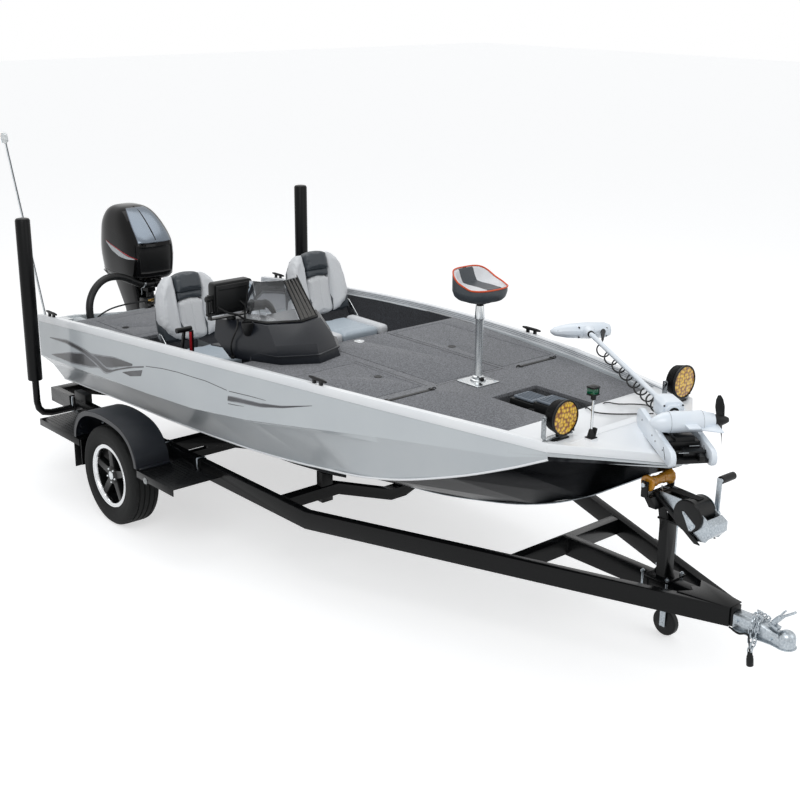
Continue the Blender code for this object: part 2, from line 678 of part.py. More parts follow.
cuts = [prism(deck_outline(DECK_AFT - 0.002, DECK_FORE, 0), "z", deck_under, 1.40)]
cuts.append(prism(deck_outline(AFT_DECK_X[0], AFT_DECK_X[1] + 0.01, 0), "z", aft_under, 1.40))
cockpit = []
for x in stations(AFT_DECK_X[1], DECK_AFT):
    wall = beam(x) - WALL - 0.002
    side = [(0.755, FLOOR_Z), (0.800, 0.86), (0.86, 0.95), (wall, 1.06), (wall, 1.42)]
    cockpit.append([(x, y, z) for y, z in side + [(-y, z) for y, z in reversed(side)]])
cuts.append(loft(cockpit))
splash = [(-WELL_Y + 0.03, 0.93), (WELL_Y - 0.03, 0.93), (WELL_Y, 1.40), (-WELL_Y, 1.40)]
cuts.append(prism(splash, "x", STERN_X + TRANSOM_T, AFT_DECK_X[0] + 0.001))
notch = [(-0.30, TRANSOM_Z), (0.30, TRANSOM_Z), (0.80, 1.085), (0.80, 1.40), (-0.80, 1.40), (-0.80, 1.085)]
cuts.append(prism(notch, "x", STERN_X - 0.02, STERN_X + TRANSOM_T + 0.001))
shelf = [(-0.79, 1.060), (0.79, 1.060), (0.79, 1.41), (-0.79, 1.41)]
cuts.append(prism(shelf, "x", STERN_X + TRANSOM_T, AFT_DECK_X[0] + 0.001))
for x, y in FRONT_LIDS.values():
    cuts.append(block((x[0] + 0.03, x[1] - 0.03), (y[0] + 0.03, y[1] - 0.03), (0.95, 1.30)))
cuts.append(
    block(
        (AFT_LID[0][0] + 0.03, AFT_LID[0][1] - 0.03), (AFT_LID[1][0] + 0.03, AFT_LID[1][1] - 0.03),
        (0.80, 1.10),
    ),
)
cuts.append(block(TRAY[0], TRAY[1], (DECK_Z - 0.095, 1.31)))
seat_boxes = []
for side in (1, -1):
    seat_boxes.append(block((0.09, 0.48), span(side, SEAT_Y - 0.23, SEAT_Y + 0.23), (FLOOR_Z - 0.02, 1.0)))
aft_bench = block((-0.46, 0.10), (-0.20, 0.20), (FLOOR_Z - 0.02, 0.98))
seat_boxes.append(aft_bench)
node("hull", "hull_paint", [hull_skin(), ("cut", cuts), ("join", seat_boxes)])

# Gunwales with their cleats
CLEATS = (-1.10, 1.77)
for label, side in SIDES:
    rings = []
    for x in stations(STERN_X, CORNER_X - FIT):
        out, top = beam(x), sheer(x)
        ring = [(out - GUNWALE_W, top - GUNWALE_H), (out, top - GUNWALE_H), (out + 0.002, top - 0.022)]
        ring += [(out - 0.006, top), (out - GUNWALE_W + 0.004, top)]
        rings.append([(x, side * y, z) for y, z in ring])
    cleats = []
    for x in CLEATS:
        y, top = side * (beam(x) - GUNWALE_W / 2), sheer(x)
        for dx in (-0.03, 0.03):
            cleats.append(
                block((x + dx - 0.009, x + dx + 0.009), (y - 0.008, y + 0.008), (top - 0.01, top + 0.030))
            )
        horn = [(0, 0.006), (0.03, 0.010), (0.12, 0.010), (0.15, 0.006)]
        cleats.append(spindle((x - 0.075, y, top + 0.028), (x + 0.075, y, top + 0.028), horn, 10))
    node(f"gunwale_{label}", "white_trim", [loft(rings), ("join", cleats)])

# Bow cap with its front trim
cap_low, cap_top = 1.2580, 1.290
plate = [(x, beam(x) - GUNWALE_W - FIT * 2) for x in stations(DECK_FORE + 0.001, CORNER_X)]
plate.append((CORNER_X + 0.05, plate[-1][1] - 0.07))
plate += [(x, -y) for x, y in reversed(plate)]
rings = []
for x, half, top in ((CORNER_X, beam(CORNER_X), sheer(CORNER_X)), (NOSE_X - 0.012, 0.014, NOSE_Z + 0.002)):
    low = top - GUNWALE_H + 0.001
    rings.append(
        [(x, y, z)
        for y, z in (
            (-half, low), (half, low), (half, top - 0.006), (half - 0.006, top), (-half + 0.006, top),
            (-half, top - 0.006),
        )]
    )
bow_trim = loft(rings)
NAV = (3.285, -0.33)
NAV_SEAT = 1.293
nav_pad = block((NAV[0] - 0.024, NAV[0] + 0.024), (NAV[1] - 0.024, NAV[1] + 0.024), (1.262, NAV_SEAT))
node("bow_cap", "white_trim", [bow_trim, ("join", [prism(plate, "z", cap_low, cap_top), nav_pad])])

# Decks and lids
LID_GAP = 0.005
STRAPS = ((2.10, 0.40, 0.68), (2.10, -0.62, -0.30))
lid_holes = [
    block((x[0] - LID_GAP, x[1] + LID_GAP), (y[0] - LID_GAP, y[1] + LID_GAP), (1.0, 1.4))
    for x, y in FRONT_LIDS.values()
]
deck = prism(deck_outline(DECK_AFT + 0.001, DECK_FORE - FIT, 0.0005), "z", DECK_Z - DECK_T, DECK_Z)
strap_bodies = [
    block((x - 0.013, x + 0.013), (low, high), (DECK_Z - 0.002, DECK_Z + 0.004)) for x, low, high in STRAPS
]
node(
    "front_deck", "carpet", [deck, ("cut", [*lid_holes, block(*TRAY, (1.0, 1.4))]), ("join", strap_bodies)]
)
# Pull holes: lid, x, y
PULLS = {
    "front_lid_starboard": (1.726, -0.373),
    "front_lid_centre": (1.058, 0.038),
    "front_lid_port": (1.526, 0.390),
}
for name, (x, y) in FRONT_LIDS.items():
    px, py = PULLS[name]
    pull = rod((px, py, 1.0), (px, py, 1.4), PULL_R, 16)
    hinge = (x[1], 0, DECK_Z) if name == "front_lid_centre" else (0, y[0] if y[0] < -0.5 else y[1], DECK_Z)
    node(name, "carpet", [block(x, y, (DECK_Z - DECK_T, DECK_Z)), ("cut", [pull])], hinge)
aft_hole = block(
    (AFT_LID[0][0] - LID_GAP, AFT_LID[0][1] + LID_GAP), (AFT_LID[1][0] - LID_GAP, AFT_LID[1][1] + LID_GAP),
    (0.9, 1.2),
)
aft_deck = prism(
    deck_outline(AFT_DECK_X[0] + 0.002, AFT_DECK_X[1] - 0.001, 0.0005), "z", AFT_DECK_Z - DECK_T, AFT_DECK_Z
)
node("aft_deck", "carpet", [aft_deck, ("cut", [aft_hole])])
pull = rod((-0.74, -0.60, 0.9), (-0.74, -0.60, 1.2), PULL_R, 16)
node(
    "aft_lid", "carpet", [block(*AFT_LID, (AFT_DECK_Z - DECK_T, AFT_DECK_Z)), ("cut", [pull])],
    (0, AFT_LID[1][0], AFT_DECK_Z),
)

# Butt seat on its pedestal
SEAT_LOW = 1.720
plate = prism(
    rounded((PEDESTAL_X - 0.0875, PEDESTAL_X + 0.0875), (-0.0875, 0.0875), 0.012), "z", DECK_Z + FIT,
    DECK_Z + 0.008,
)
post = [
    (0, 0.045), (0.015, 0.045), (0.020, 0.0225), (0.36, 0.0225), (0.365, 0.028), (0.440, 0.024),
    (0.445, 0.017), (SEAT_LOW - DECK_Z - 0.005, 0.017),
]
post = spindle((PEDESTAL_X, 0, DECK_Z + 0.005), (PEDESTAL_X, 0, SEAT_LOW), post, 20)
node("seat_post", "zinc", [plate, ("join", [post])])
# Sections of the butt seat: height, aft end, fore end, half width, from the pedestal
BUTT_SEAT = (
    (SEAT_LOW + FIT, -0.095, 0.095, 0.100), (1.745, -0.130, 0.130, 0.140), (1.790, -0.142, 0.140, 0.150),
    (1.808, -0.143, 0.128, 0.146), (1.850, -0.142, -0.020, 0.130), (1.893, -0.130, -0.075, 0.095),
)
seat_rings = []
for z, aft, fore, half in BUTT_SEAT:
    outline = rounded(
        (PEDESTAL_X + aft, PEDESTAL_X + fore), (-half, half), min(half, (fore - aft) / 2) * 0.75
    )
    seat_rings.append([(x, y, z) for x, y in outline])
node("butt_seat", "seat_vinyl", [loft(seat_rings, True)], (PEDESTAL_X, 0, SEAT_LOW))

# Foot pedal in its tray
pedal_base = prism(rounded((2.47, 2.81), (-0.09, 0.15), 0.03), "z", DECK_Z - 0.095 + FIT, DECK_Z - 0.070)
pedal = prism([(2.49, 1.185), (2.79, 1.235), (2.79, 1.255), (2.49, 1.205)], "y", -0.055, 0.075)
pedal_pivot = prism([(2.60, 1.17), (2.68, 1.17), (2.66, 1.225), (2.62, 1.22)], "y", -0.075, 0.095)
node("foot_pedal", "black_plastic", [pedal_base, ("join", [pedal, pedal_pivot])])

# Helm seats
for label, side in SIDES:
    y = span(side, SEAT_Y - 0.245, SEAT_Y + 0.245)
    rings = []
    for z, grow in ((1.0 + FIT, -0.03), (1.02, 0.0), (1.10, 0.0), (1.12, -0.02)):
        outline = rounded((0.085 - grow * 0.2, 0.50 + grow), (y[0] - grow, y[1] + grow), 0.045)
        rings.append([(px, py, z) for px, py in outline])
    plates = []
    for at in (SEAT_Y - 0.252, SEAT_Y + 0.247):
        outline = [
            (0.10, 1.01), (0.20, 1.01), (0.20, 1.05), (HINGE_X + 0.02, HINGE_Z + 0.018),
            (HINGE_X - 0.02, HINGE_Z + 0.018), (HINGE_X - 0.02, HINGE_Z - 0.018),
        ]
        plates.append(prism(outline, "y", *span(side, at, at + 0.005)))
    tie = block((0.11, 0.19), (y[0] - 0.006, y[1] + 0.006), (1.008, 1.03))
    node(f"seat_cushion_{label}", "seat_vinyl", [loft(rings, True), ("join", [tie, *plates])])
    lean = math.radians(14)
    up, fore = Vector((-math.sin(lean), 0, math.cos(lean))), Vector((math.cos(lean), 0, math.sin(lean)))
    hinge = Vector((HINGE_X, side * SEAT_Y, HINGE_Z))
    rings = []
    for s, half, front, back in (
        (-0.050, 0.200, 0.030, -0.040), (-0.030, 0.235, 0.050, -0.050), (0.10, 0.240, 0.045, -0.055),
        (0.26, 0.232, 0.045, -0.055), (0.36, 0.205, 0.055, -0.045), (0.39, 0.170, 0.035, -0.030),
    ):
        corners = (
            (-half, back), (-half * 1.0, front * 0.5), (-half * 0.75, front), (half * 0.75, front),
            (half, front * 0.5), (half, back),
        )
        rings.append([hinge + up * s + fore * t + Vector((0, w, 0)) for w, t in corners])
    pin = rod(hinge - Vector((0, 0.2465, 0)), hinge + Vector((0, 0.2465, 0)), 0.010, 12)
    node(f"seat_back_{label}", "seat_vinyl", [loft(rings, True), ("join", [pin])], hinge)

# Console: x, y outlines from the deck up to its top
CONSOLE_TOP = 1.460
console_low = [(0.86, -0.80), (1.18, -0.66), (1.30, -0.46), (1.24, -0.26), (1.06, -0.14), (0.86, -0.14)]
console_wide = [(0.76, -0.84), (1.16, -0.68), (1.27, -0.46), (1.20, -0.28), (1.02, -0.17), (0.78, -0.17)]
console_high = [(0.72, -0.80), (1.06, -0.66), (1.15, -0.46), (1.10, -0.30), (0.98, -0.22), (0.74, -0.22)]
console_rings = [(DECK_Z + FIT, console_low), (1.36, console_wide), (CONSOLE_TOP, console_high)]
hood = loft([[(x, y, z) for x, y in outline] for z, outline in console_rings])
HELM = Vector((0.63, -0.45, 1.335))
HELM_AXIS = Vector((-math.cos(math.radians(20)), 0, math.sin(math.radians(20))))
panel = block((0.90, DECK_AFT - 0.0015), (-0.745, -0.16), (0.80, 1.27))
column = rod(HELM - HELM_AXIS * 0.28, HELM + HELM_AXIS * 0.012, 0.012, 12)
node("console", "black_plastic", [hood, ("join", [panel, column])])

glass_low = [(0.88, -0.690), (1.02, -0.635), (1.11, -0.46), (1.07, -0.32), (0.98, -0.25)]
glass_high = [(0.885, -0.665), (0.96, -0.625), (1.01, -0.50), (0.985, -0.39), (0.93, -0.345)]


def thick(outline, centre, wall):
    """An open line of points as a strip's outline, with its inner edge moved toward centre."""
    inner = []
    for x, y in outline:
        way = (Vector(centre) - Vector((x, y))).normalized() * wall
        inner.append((x + way.x, y + way.y))
    return outline + inner[::-1]


glass_rings = []
for z, outline in ((CONSOLE_TOP + FIT, glass_low), (1.700, glass_high)):
    glass_rings.append([(x, y, z) for x, y in thick(outline, (0.80, -0.46), 0.006)])
node("windscreen", "smoked", [loft(glass_rings)])

ring_profile = []
for i in range(8):
    a = math.tau * i / 8
    ring_profile.append((0.014 * math.sin(a), 0.165 + 0.014 * math.cos(a)))
wheel_ring = revolved(HELM, HELM_AXIS, ring_profile, 32)
helm_turn = HELM_AXIS.to_track_quat("Z", "Y")
hub = rod(HELM - HELM_AXIS * 0.028, HELM + HELM_AXIS * 0.010, 0.036, 16)
spokes = []
for angle in (90, 210, 330):
    out = helm_turn @ Vector((math.cos(math.radians(angle)), math.sin(math.radians(angle)), 0))
    spokes.append(bar(HELM - HELM_AXIS * 0.012 + out * 0.02, HELM + out * 0.166, 0.024, 0.007, HELM_AXIS))
bore = rod(HELM - HELM_AXIS * 0.06, HELM + HELM_AXIS * 0.06, 0.012 + RUN, 12)
node("steering_wheel", "black_plastic", [wheel_ring, ("join", [hub, *spokes]), ("cut", [bore])], HELM)

FINDER = (0.790, -0.735, 1.605)
fx, fy, fz = FINDER
case = prism(rounded((fy - 0.135, fy + 0.135), (fz - 0.092, fz + 0.092), 0.02), "x", fx - 0.03, fx + 0.03)
finder_join = [
    prism(rounded((fy - 0.10, fy + 0.10), (fz - 0.06, fz + 0.06), 0.02), "x", fx + 0.02, fx + 0.045)
]
finder_join.append(rod((fx, fy, CONSOLE_TOP + FIT), (fx, fy, 1.480), 0.028, 16))
finder_join.append(block((fx - 0.018, fx + 0.018), (fy - 0.155, fy + 0.155), (1.476, 1.484)))
for dy in (-1, 1):
    finder_join.append(
        block(
            (fx - 0.018, fx + 0.018), tuple(sorted((fy + dy * 0.147, fy + dy * 0.155))), (1.478, fz + 0.02)
        ),
    )
    finder_join.append(rod((fx, fy + dy * 0.130, fz), (fx, fy + dy * 0.172, fz), 0.016, 12))
node("fish_finder", "black_plastic", [case, ("join", finder_join)])

lever_x = 0.44
lever_wall = beam(0.51) - WALL - 0.002 - FIT
binnacle = prism(rounded((0.37, 0.51), (1.10, 1.205), 0.02), "y", -lever_wall, -lever_wall + 0.055)
lever = bar(
    (lever_x, -lever_wall + 0.05, 1.16), (lever_x - 0.02, -lever_wall + 0.095, 1.33), 0.022, 0.012,
    (0, 1, 0),
)
lever_top = rod(
    (lever_x - 0.02, -lever_wall + 0.04, 1.335), (lever_x - 0.02, -lever_wall + 0.145, 1.335), 0.017, 12
)
node("throttle_control", "black_plastic", [binnacle, ("join", [lever, lever_top])])

# Spot lights on the bow cap
LAMP = (3.155, 0.46, 1.409)
for label, side in SIDES:
    x, y, z = LAMP[0], side * LAMP[1], LAMP[2]
    housing = [
        (0, 0.030), (0.006, 0.060), (0.030, 0.066), (0.034, 0.080), (0.070, 0.090), (0.078, 0.088),
        (0.080, 0.080),
    ]
    body = spindle((x, y, z), (x + 0.08, y, z), housing, 24)
    bracket = [block((x + 0.015, x + 0.045), (y - 0.104, y + 0.104), (1.3005, 1.3045))]
    bracket.append(block((x + 0.005, x + 0.055), (y - 0.03, y + 0.03), (cap_top + FIT, 1.303)))
    for dy in (-0.104, 0.100):
        bracket.append(block((x + 0.015, x + 0.045), (y + dy, y + dy + 0.004), (1.3008, z + 0.018)))
    bracket.append(rod((x + 0.03, y - 0.110, z), (x + 0.03, y + 0.110, z), 0.006, 8))
    node(f"spot_light_{label}", "black_plastic", [body, ("join", bracket)])

# Lights on stalks
nav_route = [
    (*NAV, NAV_SEAT + FIT), (*NAV, 1.38), (NAV[0] + 0.004, NAV[1] - 0.003, 1.44),
    (NAV[0] + 0.002, NAV[1], 1.515),
]
nav_lamp = spindle(
    (NAV[0] + 0.002, NAV[1], 1.505), (NAV[0] + 0.002, NAV[1], 1.56),
    [(0, 0.010), (0.008, 0.021), (0.04, 0.021), (0.055, 0.014)], 16,
)
nav_foot = spindle((*NAV, NAV_SEAT + FIT), (*NAV, 1.330), [(0, 0.019), (0.025, 0.017), (0.0367, 0.011)], 12)
node("nav_light", "black_plastic", [pipe(nav_route, 0.0065), ("join", [nav_lamp, nav_foot])])

pole_low = Vector((-1.21, -(beam(-1.21) - GUNWALE_W / 2), sheer(-1.21)))
pole_high = pole_low + Vector((-0.12, -0.14, 1.245))
way = (pole_high - pole_low).normalized()
lamp = spindle(
    pole_high - way * 0.05, pole_high + way * 0.02,
    [(0, 0.008), (0.01, 0.022), (0.055, 0.024), (0.07, 0.014)], 16,
)
node(
    "stern_light", "stainless",
    [rod(pole_low + way * 0.0018, pole_high - way * 0.03, 0.0085, 10), ("join", [lamp])],
)

# Trolling motor, stowed across the bow
POD = Vector((3.630, -0.070, 1.410))
SHAFT_WAY = Vector((-0.838, 0.545, 0)).normalized()
POD_WAY = Vector((0.545, 0.838, 0)).normalized()
SHAFT_R = 0.0145
POD_R = 0.0525
HEAD_AT = 1.70            # middle of the head along the shaft
COIL_R = 0.030            # outside of the coiled cable round the shaft
UP = Vector((0, 0, 1))


def on_shaft(distance, across=0.0, rise=0.0):
    return POD + SHAFT_WAY * distance + POD_WAY * across + UP * rise


base_z = sheer(CORNER_X) + FIT
base = bar(
    on_shaft(-0.16, 0, base_z + 0.008 - POD.z), on_shaft(0.50, 0, base_z + 0.008 - POD.z), 0.13, 0.016
)
mount_join = [
    bar(on_shaft(0.13), on_shaft(0.30), 0.110, 0.105),
    bar(on_shaft(0.16, 0, -0.070), on_shaft(0.28, 0, -0.070), 0.060, 0.080),
    bar(on_shaft(-0.045, 0, -0.070), on_shaft(0.045, 0, -0.070), 0.10, 0.075),
    bar(on_shaft(-0.18, -0.10, -0.135), on_shaft(0.36, -0.10, -0.075), 0.030, 0.085),
    bar(on_shaft(-0.18, 0.10, -0.135), on_shaft(0.36, 0.10, -0.075), 0.030, 0.085),
    bar(
        on_shaft(-0.03, -0.13, base_z + 0.008 - POD.z), on_shaft(-0.03, 0.13, base_z + 0.008 - POD.z),
        0.03, 0.012,
    ),
    bar(
        on_shaft(-0.14, -0.10, base_z + 0.008 - POD.z), on_shaft(-0.14, 0.10, base_z + 0.008 - POD.z),
        0.03, 0.012,
    ),
]
mount_cut = [
    rod(on_shaft(0.10), on_shaft(0.50), SHAFT_R + FIT, 16),
    rod(on_shaft(0, -0.2), on_shaft(0, 0.2), POD_R + 0.001, 20),
]
node("trolling_mount", "white_trim", [base, ("join", mount_join), ("cut", mount_cut)])

pod = spindle(
    on_shaft(0, -0.165), on_shaft(0, 0.150),
    [(0, 0.010), (0.02, 0.030), (0.06, 0.047), (0.10, POD_R), (0.25, POD_R), (0.315, 0.036)], 20,
)
motor_join = [rod(on_shaft(0.02), on_shaft(HEAD_AT - 0.01), SHAFT_R, 16)]
motor_join.append(rod(on_shaft(0, 0.12), on_shaft(0, 0.222), 0.008, 12))
motor_join.append(bar(on_shaft(-0.03, 0.02, 0), on_shaft(-0.11, 0.02, 0), 0.060, 0.006))
# Sections of the head: distance across the shaft, half depth, half height
HEAD = (
    (-0.222, 0.012, 0.010), (-0.200, 0.032, 0.026), (-0.120, 0.050, 0.042), (0.000, 0.056, 0.050),
    (0.110, 0.052, 0.046), (0.140, 0.036, 0.034), (0.147, 0.016, 0.016),
)
head_rings = []
for across, deep, tall in HEAD:
    ring = []
    for i in range(12):
        a = math.tau * (i + 0.5) / 12
        ring.append(on_shaft(HEAD_AT + deep * math.cos(a), across, tall * math.sin(a)))
    head_rings.append(ring)
motor_join.append(loft(head_rings, True))
node("trolling_motor", "white_trim", [pod, ("join", motor_join)])


def blade(centre, axis, angle, root_r, tip_r, chord, pitch, wall):
    """A propeller blade: lens sections from hub to tip, twisted less toward the tip."""
    turn = Vector(axis).to_track_quat("Z", "Y")
    rings = []
    for share, width, ease in ((0.0, 0.75, 1.0), (0.45, 1.0, 0.75), (0.8, 0.85, 0.55), (1.0, 0.35, 0.5)):
        r = root_r + (tip_r - root_r) * share
        twist = math.radians(pitch) * ease
        ring = []
        for along_chord, through in ((-1, 0), (0, 1), (1, 0), (0, -1)):
            w = along_chord * chord * width / 2
            t = through * wall * (1.2 - share)
            ring.append(
                (w * math.cos(twist) - t * math.sin(twist), w * math.sin(twist) + t * math.cos(twist), r)
            )
        spin = Matrix.Rotation(math.radians(angle), 4, "Z")
        rings.append([Vector(centre) + turn @ (spin @ Vector((rr, w, d))) for w, d, rr in ring])
    return loft(rings)


troll_at = on_shaft(0, 0.186)
troll_hub = spindle(
    on_shaft(0, 0.1515 + RUN), on_shaft(0, 0.225),
    [(0, 0.030), (0.035, 0.028), (0.060, 0.018), (0.072, 0.012)], 16,
)
blades = [blade(troll_at, POD_WAY, angle, 0.020, 0.120, 0.060, 38, 0.003) for angle in (70, 250)]
bore = rod(on_shaft(0, 0.14), on_shaft(0, 0.24), 0.008 + RUN, 12)
node("trolling_propeller", "black_plastic", [troll_hub, ("join", blades), ("cut", [bore])], troll_at)

COIL = (0.44, 1.08)
coil_bore = rod(on_shaft(COIL[0] - 0.1), on_shaft(COIL[1] + 0.1), SHAFT_R + RUN, 16)
node(
    "trolling_cable", "black_plastic",
    [rod(on_shaft(COIL[0]), on_shaft(COIL[1]), COIL_R, 16), ("cut", [coil_bore])],
)

# Outboard: clamp, swivel, engine and propeller
TILT_R = 0.018
CLAMP_Y = (0.095, 0.125)
clamp_outline = [
    (STERN_X - FIT, 0.80), (STERN_X - FIT, TRANSOM_Z + FIT), (STERN_X + TRANSOM_T + FIT, TRANSOM_Z + FIT),
    (STERN_X + TRANSOM_T + FIT, 0.965), (STERN_X + TRANSOM_T + 0.020, 0.965),
    (STERN_X + TRANSOM_T + 0.020, 1.055), (TILT_X + 0.025, 1.105), (TILT_X - 0.030, 1.100),
    (TILT_X - 0.045, 1.04), (TILT_X - 0.010, 0.80),
]
clamp = prism(clamp_outline, "y", -CLAMP_Y[1], -CLAMP_Y[0])
clamp_join = [
    prism(clamp_outline, "y", *CLAMP_Y), rod((TILT_X, -0.11, TILT_Z), (TILT_X, 0.11, TILT_Z), TILT_R, 16)
]
node("outboard_clamp", "black_paint", [clamp, ("join", clamp_join)])

STEER_R = 0.018
SWIVEL_Z = (0.84, 1.115)
tilt_sleeve = rod((TILT_X, -0.088, TILT_Z), (TILT_X, 0.088, TILT_Z), 0.031, 20)
steer_sleeve = rod((STEER_X, 0, SWIVEL_Z[0]), (STEER_X, 0, SWIVEL_Z[1]), 0.031, 20)
web = block((STEER_X, TILT_X), (-0.022, 0.022), (1.035, 1.095))
swivel_cut = [
    rod((TILT_X, -0.2, TILT_Z), (TILT_X, 0.2, TILT_Z), TILT_R + RUN, 16),
    rod((STEER_X, 0, 0.7), (STEER_X, 0, 1.3), STEER_R + RUN, 16),
]
node(
    "outboard_swivel", "black_paint", [steer_sleeve, ("join", [tilt_sleeve, web]), ("cut", swivel_cut)],
    (TILT_X, 0, TILT_Z),
)

# Engine sections: height, aft end, fore end, half width
COWL = (
    (1.205, -1.850, -1.450, 0.150), (1.250, -1.890, -1.410, 0.178), (1.290, -1.902, -1.290, 0.190),
    (1.400, -1.915, -1.272, 0.200), (1.515, -1.908, -1.290, 0.195), (1.620, -1.888, -1.400, 0.178),
    (1.700, -1.840, -1.500, 0.145), (1.745, -1.775, -1.590, 0.090),
)
LEG = (
    (1.250, -1.830, -1.490, 0.100), (1.150, -1.815, -1.478, 0.090), (0.950, -1.725, -1.478, 0.062),
    (0.800, -1.690, -1.480, 0.052), (0.400, -1.700, -1.500, 0.032),
)


def engine_rings(table, corner):
    rings = []
    for z, aft, fore, half in table:
        rings.append([(x, y, z) for x, y in rounded((aft, fore), (-half, half), half * corner)])
    return rings


gear_nose, gear_tail = (-1.410, 0, PROP_Z), (-1.795, 0, PROP_Z)
case = [(0, 0.005), (0.03, 0.026), (0.09, 0.045), (0.20, 0.050), (0.33, 0.042), (0.385, 0.034)]
plate = [
    (-1.840, -0.060), (-1.780, -0.085), (-1.520, -0.070), (-1.470, -0.015), (-1.470, 0.015),
    (-1.520, 0.070), (-1.780, 0.085), (-1.840, 0.060),
]
fin = [(-1.50, 0.405), (-1.72, 0.405), (-1.74, 0.280), (-1.46, 0.280)]
skeg = [(-1.500, 0.250), (-1.760, 0.250), (-1.740, 0.130), (-1.650, 0.120)]
engine_join = [
    loft(engine_rings(LEG, 0.6), True),
    prism(plate, "z", 0.398, 0.406),
    prism(fin, "y", -0.017, 0.017),
    spindle(gear_nose, gear_tail, case, 20),
    prism(skeg, "y", -0.005, 0.005),
    rod((gear_tail[0] + 0.02, 0, PROP_Z), (-1.900, 0, PROP_Z), 0.010, 12),
    rod((STEER_X, 0, 0.795), (STEER_X, 0, 1.160), STEER_R, 16),
    rod((-1.360, 0, 1.190), (-1.360, 0.060, 1.190), 0.033, 16),
    block((-1.385, -1.335), (0.005, 0.055), (1.190, 1.280)),
    block((-1.50, STEER_X + 0.028), (-0.032, 0.032), (SWIVEL_Z[1] + 0.006, SWIVEL_Z[1] + 0.040)),
    block((-1.50, STEER_X + 0.028), (-0.028, 0.028), (0.795, SWIVEL_Z[0] - 0.006)),
]
node(
    "outboard", "gloss_black", [loft(engine_rings(COWL, 0.55), True), ("join", engine_join)],
    (STEER_X, 0, TILT_Z),
)

prop_hub = spindle(
    (gear_tail[0] - 0.002 - RUN, 0, PROP_Z), (-1.905, 0, PROP_Z),
    [(0, 0.034), (0.05, 0.032), (0.085, 0.026), (0.1065, 0.020)], 18,
)
prop_at = (-1.850, 0, PROP_Z)
blades = [blade(prop_at, (-1, 0, 0), angle, 0.024, 0.138, 0.105, 30, 0.005) for angle in (90, 210, 330)]
bore = rod((-1.70, 0, PROP_Z), (-2.0, 0, PROP_Z), 0.010 + RUN, 12)
node("propeller", "gloss_black", [prop_hub, ("join", blades), ("cut", [bore])], prop_at)

# The hose from its sleeve under the cowl to the floor of the splash well
HOSE_R = 0.027
HOSE = [
    (-1.360, -0.0003, 1.190), (-1.360, -0.050, 1.190), (-1.359, -0.100, 1.200), (-1.357, -0.150, 1.219),
    (-1.352, -0.200, 1.245), (-1.343, -0.250, 1.269), (-1.332, -0.300, 1.287), (-1.320, -0.350, 1.297),
    (-1.307, -0.400, 1.300), (-1.293, -0.443, 1.2955), (-1.280, -0.483, 1.283), (-1.268, -0.520, 1.263),
    (-1.256, -0.553, 1.237), (-1.246, -0.580, 1.204), (-1.237, -0.600, 1.167), (-1.229, -0.612, 1.126),
    (-1.222, -0.616, 1.084), (-1.212, -0.616, 1.030), (-1.206, -0.616, 0.980), (
        -1.206, -0.616, 0.930 + FIT
    ),
]
node("rigging_hose", "black_plastic", [pipe(HOSE, HOSE_R, 12)])
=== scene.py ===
import math

import bpy
from mathutils import Matrix, Vector
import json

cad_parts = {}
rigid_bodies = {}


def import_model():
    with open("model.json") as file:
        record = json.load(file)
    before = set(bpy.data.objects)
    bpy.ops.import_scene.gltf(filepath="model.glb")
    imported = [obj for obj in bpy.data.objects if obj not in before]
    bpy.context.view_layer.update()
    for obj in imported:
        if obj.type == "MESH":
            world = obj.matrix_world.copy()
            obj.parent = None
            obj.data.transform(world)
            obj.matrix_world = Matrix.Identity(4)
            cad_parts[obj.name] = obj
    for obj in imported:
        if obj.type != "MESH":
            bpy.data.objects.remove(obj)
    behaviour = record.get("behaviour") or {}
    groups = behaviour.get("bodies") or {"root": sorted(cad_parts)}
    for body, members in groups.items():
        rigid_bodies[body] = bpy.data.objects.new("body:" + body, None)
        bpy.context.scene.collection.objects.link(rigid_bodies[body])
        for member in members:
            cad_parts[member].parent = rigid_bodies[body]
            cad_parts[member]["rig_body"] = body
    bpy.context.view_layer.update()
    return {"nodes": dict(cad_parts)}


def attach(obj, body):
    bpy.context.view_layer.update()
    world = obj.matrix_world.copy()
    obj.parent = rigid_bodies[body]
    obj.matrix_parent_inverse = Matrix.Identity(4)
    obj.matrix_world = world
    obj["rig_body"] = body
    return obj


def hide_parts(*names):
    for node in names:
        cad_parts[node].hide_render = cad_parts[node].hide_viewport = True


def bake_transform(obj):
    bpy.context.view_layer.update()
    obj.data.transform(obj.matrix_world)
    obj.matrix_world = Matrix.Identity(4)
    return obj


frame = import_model()
print("frame loaded")

axleX = -1.1965  # the trailer's axle in the frame; every X in this file is measured from it
up = Vector((0, 0, 1))


def at(x, y, z):
    return Vector((x + axleX, y, z))


# Colours and nodes
def hexColour(text):
    parts = [int(text[i : i + 2], 16) / 255 for i in (0, 2, 4)]
    return [p / 12.92 if p <= 0.04045 else ((p + 0.055) / 1.055) ** 2.4 for p in parts] + [1]


def addNode(tree, kind, settings=None, links=None):
    made = tree.nodes.new(kind)
    for key, value in (settings or {}).items():
        if isinstance(key, int) or key in made.inputs:
            made.inputs[key].default_value = value
        else:
            setattr(made, key, value)
    for key, source in (links or {}).items():
        tree.links.new(source, made.inputs[key])
    return made


def newFinish(name, colour, roughness, metallic=0.0, **extra):
    finish = bpy.data.materials.new(name)
    finish.use_nodes = True
    shader = finish.node_tree.nodes["Principled BSDF"]
    shader.inputs["Base Color"].default_value = hexColour(colour)
    shader.inputs["Roughness"].default_value = roughness
    shader.inputs["Metallic"].default_value = metallic
    for key, value in extra.items():
        shader.inputs[key.replace("_", " ")].default_value = value
    return finish


